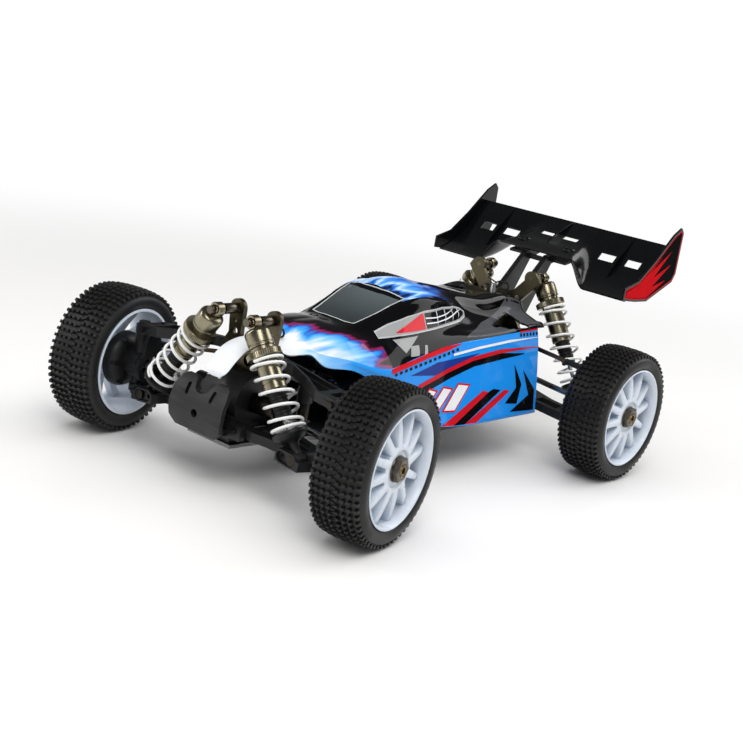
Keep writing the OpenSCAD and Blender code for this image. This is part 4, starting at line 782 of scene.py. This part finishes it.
def tongue_row(x, half, edge, middle):
    """Section of the nose tongue: a shallow arch from the height of its edge to that of its middle."""
    turn = [math.radians(a) for a in range(90, -1, -15)]
    return (x, *((half * math.sin(a), edge + (middle - edge) * math.cos(a)) for a in turn))


def shell_grid():
    """Rows of points from the left lower edge over the roof to the right one."""
    sections = [tongue_row(*t) for t in TONGUE_ROWS] + SHELL_ROWS
    rows = [[Vector((x, *p)) for p in points] for x, *points in sections]
    columns = [curve([row[j] for row in rows], STEPS) for j in range(len(rows[0]))]
    grid = []
    for i in range(len(columns[0])):
        half = curve([column[i] for column in columns], STEPS)
        half = [p + Vector((0, 0.3, 1)).normalized() * ridge(p) for p in half]
        grid.append(half + [Vector((p.x, -p.y, p.z)) for p in half[-2::-1]])
    return grid


GRID = shell_grid()


def paint_at(x, across):
    """Material index of a shell face: side, cab, hood or roof, by its place along and across the shell."""
    if across < SHOULDER * STEPS and x < HOOD_FRONT:
        return 0
    if x > CAB_FRONT:
        return 2
    return 3 if across >= ROOF * STEPS and x < ROOF_FRONT else 1


def build_shell(bm):
    """Surface of the shell, cut square under its tail and open at the two rear vents."""
    rows = [ring_of(bm, row) for row in GRID]
    for i in range(len(rows) - 1):
        for j in range(len(rows[0]) - 1):
            face = bm.faces.new((rows[i][j], rows[i + 1][j], rows[i + 1][j + 1], rows[i][j + 1]))
            across = min(j, len(rows[0]) - 2 - j)
            middle = (GRID[i][j].x + GRID[i + 1][j].x) / 2
            face.material_index = paint_at(middle, across)
    cuts = [((TAIL_X, 0, 0), (1, 0, 0)), ((0, 0, TAIL_TOP), (0, 0, 1))]
    cut_away(bm, cuts, lambda p: p.x < TAIL_X and p.z < TAIL_TOP)
    a, b, c = VENT
    sides = [((p[0], 0, p[1]), (q[1] - p[1], 0, p[0] - q[0])) for p, q in ((a, b), (b, c), (c, a))]
    cut_away(bm, sides, lambda p: all((p - Vector(o)).dot(Vector(n)) > 0 for o, n in sides) and abs(p.y) > VENT_INNER)
    bmesh.ops.translate(bm, vec=(MID_X, 0, 0), verts=bm.verts)


def cut_away(bm, planes, inside):
    """Splits the mesh along planes and deletes the faces whose middle lies inside."""
    for point, normal in planes:
        bmesh.ops.bisect_plane(bm, geom=bm.verts[:] + bm.edges[:] + bm.faces[:], plane_co=point, plane_no=normal)
    away = [f for f in bm.faces if inside(f.calc_center_median())]
    bmesh.ops.delete(bm, geom=away, context="FACES")


shell = piece("painted_shell", "chassis", build_shell, [SIDE_PAINT, SHELL_BLACK, HOOD_PAINT, ROOF_PAINT],
              ["body_shell"], smooth=55)
thicken(shell, SHELL_T, -1)


def surface():
    """Search tree of the shell's outer surface."""
    bm = bmesh.new()
    bm.from_mesh(shell.data)
    bm.normal_update()
    tree = BVHTree.FromBMesh(bm)
    bm.free()
    return tree


SURFACE = surface()
ABOVE = 400  # height from which films are laid on the top
BESIDE = 300  # distance from which films are laid on the sides
FILM_STEP = 2.0


def resample(outline, step):
    """Closed outline with points no further apart than a step."""
    out = []
    for p, q in zip(outline, outline[1:] + outline[:1]):
        p, q = Vector(p), Vector(q)
        n = max(1, math.ceil((q - p).length / step))
        out += [p + (q - p) * k / n for k in range(n)]
    return out


def within(p, loop):
    """Whether a point lies inside a closed outline."""
    inside = False
    for a, b in zip(loop, loop[1:] + loop[:1]):
        if (a.y > p.y) != (b.y > p.y) and p.x < (b.x - a.x) * (p.y - a.y) / (b.y - a.y) + a.x:
            inside = not inside
    return inside


def drape(bm, outline, view, lift, index):
    """Lays a flat outline on the shell, seen from above in (x, y) or from a side in (x, z)."""
    step = FILM_STEP
    loop = resample(outline, step)
    xs, ys = [p.x for p in loop], [p.y for p in loop]
    inner = []
    for i in range(int(min(xs) / step), int(max(xs) / step) + 1):
        for j in range(int(min(ys) / step), int(max(ys) / step) + 1):
            p = Vector((i * step, j * step))
            if within(p, loop) and min((p - q).length for q in loop) > 0.4 * step:
                inner.append(p)
    n = len(loop)
    points, _, faces, *_ = delaunay_2d_cdt(loop + inner, [(k, (k + 1) % n) for k in range(n)], [], 1, 1e-4)
    laid = []
    for p in points:
        x = p.x + MID_X
        if view == "top":
            start, aim = Vector((x, p.y, ABOVE)), Vector((0, 0, -1))
        else:
            start, aim = Vector((x, BESIDE * view, p.y)), Vector((0, -view, 0))
        at, normal, _, _ = SURFACE.ray_cast(start * MM, aim)
        if at is None:
            laid.append(None)
            continue
        if normal.dot(aim) > 0:
            normal = -normal
        laid.append(bm.verts.new(at / MM + normal * lift))
    for face in faces:
        corners = [laid[k] for k in face]
        if None not in corners:
            bm.faces.new(corners).material_index = index


def both(outline):
    """Half outline in (x, y) and its mirror image, joined along the middle."""
    return list(outline) + [(x, -y) for x, y in reversed(outline) if abs(y) > 0.01]


def decal(name, shapes, materials, lift):
    """Film pieces on the shell: (outline, view, material index) each."""
    def build(bm):
        for outline, view, index in shapes:
            for v in ((1, -1) if view == "sides" else (view,)):
                drape(bm, outline, v, lift, index)
    piece(name, "chassis", build, materials, smooth=60)


def on_sides(outlines, index=0):
    """Shapes of a film that lie on both sides of the shell."""
    return [(outline, "sides", index) for outline in outlines]


def band(line, width):
    """Outline of a strip along a line of (x, z), of even width, pointed at its last end."""
    pts = [Vector(p) for p in line]
    left, right = [], []
    for i, p in enumerate(pts):
        t = (pts[min(i + 1, len(pts) - 1)] - pts[max(i - 1, 0)]).normalized()
        w = width / 2 * (1 if i < len(pts) - 1 else 0.15)
        n = Vector((-t.y, t.x))
        left.append(p + n * w)
        right.append(p - n * w)
    return [tuple(p) for p in left + right[::-1]]


def grown(outline, by):
    """Outline moved outwards from its middle by a distance."""
    pts = [Vector(p) for p in outline]
    area = sum(a.x * b.y - b.x * a.y for a, b in zip(pts, pts[1:] + pts[:1]))
    turn = 1 if area > 0 else -1
    out = []
    for i, p in enumerate(pts):
        a, b = (p - pts[i - 1]).normalized(), (pts[(i + 1) % len(pts)] - p).normalized()
        n = Vector((a.y + b.y, -a.x - b.x)) * turn
        n = n.normalized() if n.length > 1e-6 else Vector((a.y, -a.x)) * turn
        out.append(tuple(p + n * by / max(0.45, n.dot(Vector((a.y, -a.x)) * turn))))
    return out


SCREEN = both([(73, 0), (72.4, 12), (69.5, 20.5), (45, 24.4), (20.5, 27.2), (24, 18), (27, 9), (28, 0)])
BANNER = both([(33, 0), (32, 9), (28.5, 18), (24.5, 26.4), (21.2, 26.8), (24.4, 17.8), (27.4, 8.8), (28.4, 0)])
SIDE_WINDOW = [(60.5, 112), (60, 114.6), (45, 120), (26, 125.4), (6, 129), (-20, 130.4), (-42, 129), (-55, 126.4),
               (-59, 124.2), (-56, 121.4), (-46, 119.4), (-19, 118), (14, 116), (41, 114)]
WINDOW_REAR = [(8, 117), (7, 128), (-20, 129.4), (-42, 128.1), (-54, 125.8), (-57.6, 124), (-55, 122.2),
               (-45, 120.3), (-19, 118.9)]
WINDOW_BAR = [(44, 115), (38, 115.2), (9.5, 117), (8.5, 128), (12, 127.4)]
CORDS = [
    [(7, 120.6), (-8, 120.8), (-24, 122), (-44, 125), (-54, 125.8)],
    [(7, 124.5), (-8, 124.2), (-24, 125.4), (-40, 128.4)],
    [(-9, 129), (-9.5, 124), (-8, 118.6)], [(-22, 129.2), (-23, 124), (-20, 119)],
    [(-35, 128.4), (-36.5, 124), (-32, 119.6)], [(-47, 127.2), (-48.5, 124), (-44, 120.6)],
]
CORD_W = 0.9
BUTTRESS = [(-36, 55), (-56, 47), (-76, 39), (-100, 33.5), (-128, 27), (-148, 27), (-148, 54), (-100, 55.6), (-64, 56)]

LAYER = 0.14
decal("buttress_grey", [(BUTTRESS, "top", 0), ([(x, -y) for x, y in BUTTRESS], "top", 0)], [GUN_GREY], LAYER)
decal("screen_border", [(grown(SCREEN, 1.2), "top", 0)], [SILVER], 3 * LAYER)
decal("screen_film", [(SCREEN, "top", 0)], [SMOKE], 4 * LAYER)
decal("screen_banner", [(BANNER, "top", 0)], [BLACK], 5 * LAYER)
decal("side_window_border", on_sides([grown(SIDE_WINDOW, 0.8)]), [SILVER], 3 * LAYER)
decal("side_window_film", on_sides([SIDE_WINDOW]), [GREY], 4 * LAYER)
decal("side_window_net", on_sides([WINDOW_REAR]) + on_sides([WINDOW_BAR], 1), [NET_BLACK, RED], 5 * LAYER)
decal("side_window_cords", on_sides([band(cord, CORD_W) for cord in CORDS]), [WHITE], 6 * LAYER)

SHOULDER_LINE = [(64, 91), (41, 95.2), (19, 99.6), (-4, 103.4), (-26, 106.2)]
MAIN_STRIPE = [(52, 66), (26, 77.5), (-7, 86.5), (-42, 93.5), (-81, 96.6), (-141, 96.6)]
BLACK_STRIPE = [(46, 64), (22, 74), (-10, 82.8), (-44, 89.6), (-84, 92.4), (-118, 92)]
WHITE_STRIPE = [(-14, 98.4), (-50, 101.6), (-96, 104), (-140.8, 104.6)]
RED_SHAPES = [
    band(SHOULDER_LINE, 3.6), band(MAIN_STRIPE, 3.4),
    [(-2, 42.6), (-18, 41.4), (-66, 64), (-58, 66)], [(-34, 40.8), (-50, 40.2), (-98, 62), (-90, 64)],
    [(-112, 109.6), (-112, 110.8), (-140.8, 111.8), (-140.8, 110.6)],
]
BLACK_SHAPES = [
    [(-18, 41.4), (-34, 40.8), (-84, 64), (-74, 66), (-66, 64)], band(BLACK_STRIPE, 5),
    [(-100, 44), (-137, 42), (-137, 60), (-118, 78), (-128, 56)],
    [(-92, 52), (-110, 50), (-116, 66), (-104, 84), (-108, 64)],
]
WHITE_BARS = [
    [(30, 59), (22, 58), (8, 71), (16, 73)], [(14, 57), (4, 56), (-12, 71), (-2, 73)],
    [(-4, 55), (-18, 54), (-36, 72), (-22, 74)],
]
decal("side_red", on_sides(RED_SHAPES), [RED], 3 * LAYER)
decal("side_black", on_sides(BLACK_SHAPES), [BLACK], 2 * LAYER)
decal("side_white", on_sides([band(WHITE_STRIPE, 2.0)] + WHITE_BARS), [WHITE], 4 * LAYER)
decal("side_white_edges", on_sides([grown(bar, 1.5) for bar in WHITE_BARS]), [RED], 3.5 * LAYER)
checks = []
for k in range(14):
    x, z = 60 - 6 * k, 89.2 + 1.05 * k
    checks.append([(x, z), (x - 3, z + 0.55), (x - 3.3, z - 1.6), (x - 0.3, z - 2.1)])
for x in range(-112, -138, -5):
    checks.append([(x, 106.4), (x, 109), (x - 2.6, 109.1), (x - 2.6, 106.5)])
NAVY_SHAPES = [
    [(40, 86), (6, 94), (-30, 96), (-52, 97.4), (-20, 90), (10, 84)], [(34, 62), (20, 52), (-2, 47), (8, 60)],
]
GREY_SHAPES = [
    [(50, 111), (22, 113.2), (43, 102.4)], [(35, 106.8), (26, 107.4), (29, 100.4), (39, 100)],
    [(19.5, 107), (16.5, 107.2), (19, 100.8), (23, 100.6)],
]
intake = [(54.5 + 3.2 * math.cos(a) - 1.2 * math.sin(a), 108 + 3.6 * math.sin(a)) for a in angles(16)]
decal("side_checks", on_sides(checks), [BLACK], 3 * LAYER)
decal("side_navy", on_sides(NAVY_SHAPES), [NAVY], LAYER)
decal("cab_side_shapes", on_sides([intake], 1) + on_sides(GREY_SHAPES), [GREY, NET_BLACK], 2 * LAYER)


# Rear wing, in mm from mid-wheelbase and the ground

WING_LOW = [(-197, 146), (-204, 148), (-216, 153), (-230, 162), (-243, 174), (-254, 186), (-262, 194)]
WING_HIGH = [(-199, 168), (-204, 169), (-216, 172.5), (-230, 176), (-243, 181), (-254, 188), (-262, 194)]
WING_Y = (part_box("wing")[1].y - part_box("wing")[0].y) / 2 / MM
WING_T = 1.8
PLATE_T = 2.0
GUSSET_T = 1.6
GUSSETS = (0, 67)
BUTTONS_Y = 24.6
RAISED_HALF = 60  # half width of the raised middle at the front lip
RAISED_TAPER = 3.8  # how much narrower it gets with each point of the section
RAISED_SLOPE = 21  # width of the slope down to the sides
SLOT_SPAN = (3.62, 4.12)
SLOTS = [(4.5, 20), (45.5, 61.5), (73.5, 88)]
END_PLATE = [(-190, 147), (-212, 145), (-234, 144.5), (-276, 161), (-280.6, 169), (-279, 207), (-274, 211.5),
             (-262, 205), (-236, 182), (-212, 164), (-190, 158)]


def raised(y, t):
    """Share of the raised middle at a place across the wing; its border runs inwards towards the rear."""
    share = max(0, min(1, (RAISED_HALF - RAISED_TAPER * t - abs(y)) / RAISED_SLOPE))
    return share * share * (3 - 2 * share)


def wing_point(y, t):
    """Point of the blade at a distance from the middle; t counts the points of its section from the front lip."""
    low, high = (curve_at([Vector(p) for p in line], t) for line in (WING_LOW, WING_HIGH))
    p = low + (high - low) * raised(y, t)
    return Vector((p.x + MID_X, y, p.y))


def curve_at(points, t):
    """One point of the curve through points, t counted in points."""
    i = min(int(t), len(points) - 2)
    return curve_point(points, i, t - i)


def build_wing(bm):
    """Surface of the blade between its end plates, with the slots left open."""
    half = WING_Y - PLATE_T
    slot_ends = {s * y for pair in SLOTS for y in pair for s in (1, -1)}
    ys = sorted({round(half * k / 48, 3) for k in range(-48, 49)} | slot_ends)
    ys = [y for i, y in enumerate(ys) if i == 0 or y - ys[i - 1] > 0.4]
    ts = sorted({k / 7 for k in range(43)} | set(SLOT_SPAN))
    ts = [t for i, t in enumerate(ts) if i == 0 or t - ts[i - 1] > 0.05 or t in SLOT_SPAN]
    rows = [ring_of(bm, [wing_point(y, t) for t in ts]) for y in ys]
    for i in range(len(ys) - 1):
        for j in range(len(ts) - 1):
            y, t = (ys[i] + ys[i + 1]) / 2, (ts[j] + ts[j + 1]) / 2
            if SLOT_SPAN[0] < t < SLOT_SPAN[1] and any(a < abs(y) < b for a, b in SLOTS):
                continue
            bm.faces.new((rows[i][j], rows[i][j + 1], rows[i + 1][j + 1], rows[i + 1][j]))


def plate(bm, outline, matrix, thickness):
    """Flat plate in the local XZ plane, given its thickness along Y."""
    loft(bm, [ring_of(bm, [matrix @ Vector((x, y, z)) for x, z in outline]) for y in (0, thickness)])


def build_wing_plates(bm):
    """End plates, gussets in the corner of the blade, and the two buttons that hold the wing."""
    for s in (1, -1):
        plate(bm, END_PLATE, Matrix.Translation((MID_X, s * WING_Y, 0)), -s * PLATE_T)
    for y in GUSSETS:
        for s in ((1, -1) if y else (1,)):
            foot = [wing_point(y, 2.2 + 0.4 * k) for k in range(10)]
            tip, bend = foot[-1], foot[3]
            outline = [(p.x, p.z) for p in foot] + [(tip.x + 1, tip.z + 1.2), (bend.x + 4, bend.z + 4.5)]
            plate(bm, outline, Matrix.Translation((0, s * y - GUSSET_T / 2, 0)), GUSSET_T)
    button = [(6.6, -0.5), (6.6, 0.9), (5.8, 1.7), (3.4, 2.3), (2.0, 2.4), (2.0, 1.2), (0, 1.2)]
    for s in (1, -1):
        lathe(bm, button, Matrix.Translation(wing_point(s * BUTTONS_Y, 2.25)), 40, closed=False)


blade = piece("wing_blade", "chassis", build_wing, [WING], ["wing"], smooth=60)
thicken(blade, WING_T, 0)
round_edges(blade, 0.4, 50, harden=False)
piece("wing_plates", "chassis", build_wing_plates, [WING], smooth=40, bevel=0.4)


def build_end_film(bm, outline, lift, index=0):
    """Flat film on the outside of both end plates."""
    for s in (1, -1):
        face = bm.faces.new(ring_of(bm, [Vector((x + MID_X, s * (WING_Y + lift), z)) for x, z in outline]))
        face.material_index = index


FILM = grown(END_PLATE, -2.2)
INNER = grown(END_PLATE, -3.2)
FLAME = [(-193.5, 150), (-212, 148.6), (-232, 148.2), (-262, 163.5), (-238, 158), (-267, 178), (-238, 166.5),
         (-263, 190), (-230, 170.5), (-248, 186), (-213, 160.6), (-194, 154.8)]


def build_end_films(bm):
    """Red line about a black field, with red points that rise from the front corner."""
    build_end_film(bm, FILM, 0.05)
    build_end_film(bm, INNER, 0.1, 1)
    build_end_film(bm, FLAME, 0.15)


piece("wing_end_film", "chassis", build_end_films, [SATIN_RED, SATIN_BLACK])


# CAD pieces that stay in view

def islands(mesh):
    """Face lists of a mesh's loose parts, largest box first."""
    key = {}
    parent = []
    corner = []
    for v in mesh.vertices:
        k = tuple(round(c * 1e6) for c in v.co)
        if k not in key:
            key[k] = len(parent)
            parent.append(len(parent))
        corner.append(key[k])

    def find(a):
        """First point of the loose part that a point belongs to."""
        while parent[a] != a:
            parent[a] = parent[parent[a]]
            a = parent[a]
        return a

    for polygon in mesh.polygons:
        ids = [find(corner[v]) for v in polygon.vertices]
        for other in ids[1:]:
            parent[find(other)] = find(ids[0])
    groups = {}
    for polygon in mesh.polygons:
        groups.setdefault(find(corner[polygon.vertices[0]]), []).append(polygon.index)

    def size(faces):
        """Volume of the box about some faces."""
        points = [mesh.vertices[v].co for f in faces for v in mesh.polygons[f].vertices]
        span = [max(p[k] for p in points) - min(p[k] for p in points) for k in range(3)]
        return span[0] * span[1] * span[2]

    return sorted(groups.values(), key=size, reverse=True)


CAD_EDGE = 0.35


def dress(node, main, rest=None):
    """Finish of a CAD node: its largest solid in one material, pins and inserts in another, edges broken."""
    obj = nodes[node]
    obj.data.materials.clear()
    obj.data.materials.append(main)
    if rest:
        obj.data.materials.append(rest)
        for faces in islands(obj.data)[1:]:
            for f in faces:
                obj.data.polygons[f].material_index = 1
    weld = obj.modifiers.new("weld", "WELD")
    weld.merge_threshold = 2e-6
    round_edges(obj, CAD_EDGE, 40)


for side in ("left", "right"):
    for end in ("front", "rear"):
        dress(f"{end}_{side}_lower_arm", NYLON, DARK_STEEL)
        dress(f"{end}_{side}_driveshaft", STEEL)
    dress(f"front_{side}_upper_arm", NYLON, STEEL)
    dress(f"front_{side}_steering_hub", NYLON, DARK_STEEL)
    dress(f"front_{side}_knuckle", NYLON, DARK_STEEL)
    dress(f"rear_{side}_hub", NYLON, DARK_STEEL)
    dress(f"rear_{side}_upper_link", LINK_STEEL, NYLON)
    dress(f"tie_rod_{side}", LINK_STEEL, NYLON)
    dress(f"bellcrank_{side}", NYLON, STEEL)
dress("chassis_plate", CHASSIS)
dress("guards_and_braces", NYLON)
dress("front_bumper", NYLON)
dress("front_gearbox", NYLON, DARK_STEEL)
dress("rear_gearbox", NYLON, STEEL)
dress("front_shock_tower", GUNMETAL, NUT)
dress("rear_shock_tower", GUNMETAL, NUT)
dress("hinge_pins", DARK_STEEL)
dress("steering_servo", NYLON, STEEL)
dress("drive_motor", DARK_STEEL, STEEL)
dress("battery_and_radio", NYLON)
dress("wing_mount", NYLON)
dress("centre_drive", STEEL)
dress("motor_pinion", STEEL)
dress("servo_horn", NYLON)
dress("drag_link", CHASSIS, STEEL)


# Camera, light and floor

CAMERA_AT = Vector((838.4 + MID_X, 634.6, 327.1)) * MM
CAMERA_TURN = (127.451, 13.891, 9.991)
FOCAL_PIXELS = 1318.4
IMAGE_WIDTH = 743
SENSOR = 36.0


def make_camera():
    """Camera at the photograph's viewing angle: azimuth, elevation and roll in degrees."""
    azimuth, elevation, roll = (math.radians(a) for a in CAMERA_TURN)
    level = math.cos(elevation)
    back = Vector((math.sin(azimuth) * level, -math.cos(azimuth) * level, math.sin(elevation)))
    right = Vector((math.cos(azimuth), math.sin(azimuth), 0))
    up = back.cross(right)
    tilted = right * math.cos(roll) + up * math.sin(roll)
    data = bpy.data.cameras.new("camera")
    data.sensor_width = SENSOR
    data.lens = SENSOR * FOCAL_PIXELS / IMAGE_WIDTH
    data.clip_start = 0.05
    obj = put("camera", data)
    obj.matrix_world = Matrix.Translation(CAMERA_AT) @ Matrix((tilted, back.cross(tilted), back)).transposed().to_4x4()
    bpy.context.scene.camera = obj


LAMP_AIM = Vector((0, 0, 0.06))


def lamp(name, at, size, power):
    """Soft rectangular lamp aimed at the car, placed in metres."""
    data = bpy.data.lights.new(name, "AREA")
    data.shape = "RECTANGLE"
    data.size, data.size_y = size
    data.energy = power
    obj = put(name, data)
    obj.location = at
    obj.rotation_euler = (LAMP_AIM - Vector(at)).to_track_quat("-Z", "Y").to_euler()
    return obj


AMBIENT = 0.3
CEILING = 0.1
BACKDROP = {"From Min": 0.04, "From Max": 0.3}  # rise of a mirrored ray between white backdrop and dim ceiling
GLOW = {"From Min": 0.45, "From Max": 1.3}  # metres from the middle over which the floor turns white
FLOOR_SIZE = 12  # metres


def light_path(tree):
    """Kinds of ray, and a value of 1 for the rays that arrive by reflection or through glass."""
    path = add(tree, "LightPath").outputs
    bounced = {0: path["Is Glossy Ray"], 1: path["Is Transmission Ray"]}
    return path, add(tree, "Math", links=bounced, operation="MAXIMUM").outputs[0]


def make_studio():
    """Pale seamless floor, soft lamps and a white backdrop that gives way to a dim ceiling."""
    world = bpy.data.worlds.new("studio")
    bpy.context.scene.world = world
    world.use_nodes = True
    tree = world.node_tree
    path, mirrored = light_path(tree)
    way = add(tree, "SeparateXYZ", links={"Vector": add(tree, "TexCoord").outputs["Generated"]}).outputs["Z"]
    sweep = add(tree, "MapRange", {**BACKDROP, "To Min": 1.0, "To Max": CEILING}, {"Value": way})
    around = add(tree, "Mix", {2: AMBIENT}, {0: mirrored, 3: sweep.outputs["Result"]})
    level = add(tree, "Mix", {3: 1.0}, {0: path["Is Camera Ray"], 2: around.outputs[0]})
    ground = tree.nodes["Background"]
    ground.inputs["Color"].default_value = colour("#ffffff")
    tree.links.new(level.outputs[0], ground.inputs["Strength"])

    bpy.ops.mesh.primitive_plane_add(size=FLOOR_SIZE)
    floor = bpy.context.object
    floor.name = "floor"
    material, tree, shader = finish("pale_studio_floor", "#f1f0ef", 0.35, Specular_IOR_Level=0.3)
    output = tree.nodes["Material Output"]
    place = add(tree, "TexCoord").outputs["Object"]
    reach = add(tree, "VectorMath", links={0: place}, operation="LENGTH").outputs["Value"]
    far = add(tree, "MapRange", GLOW, {"Value": reach}, interpolation_type="SMOOTHSTEP")
    glow = add(tree, "Emission", {"Color": colour("#ffffff"), "Strength": 1.0})
    path, mirrored = light_path(tree)
    seen = add(tree, "Math", links={0: path["Is Camera Ray"], 1: mirrored}, operation="MAXIMUM")
    share = add(tree, "Math", links={0: far.outputs["Result"], 1: seen.outputs[0]}, operation="MULTIPLY")
    blend = add(tree, "MixShader", links={0: share.outputs[0], 1: shader.outputs[0], 2: glow.outputs[0]})
    tree.links.new(blend.outputs[0], output.inputs["Surface"])
    floor.data.materials.append(material)

    lamp("overhead", (0.1, 0.2, 1.7), (2.6, 2.6), 30).visible_glossy = False
    lamp("front_left", (0.9, 0.8, 1.4), (0.7, 0.9), 10)
    lamp("front_right", (1.1, -1.2, 0.8), (0.4, 1.0), 7)
    lamp("behind", (-1.2, 0.5, 1.0), (1.0, 0.8), 8)


make_camera()
make_studio()
bpy.context.scene.view_settings.view_transform = "Standard"
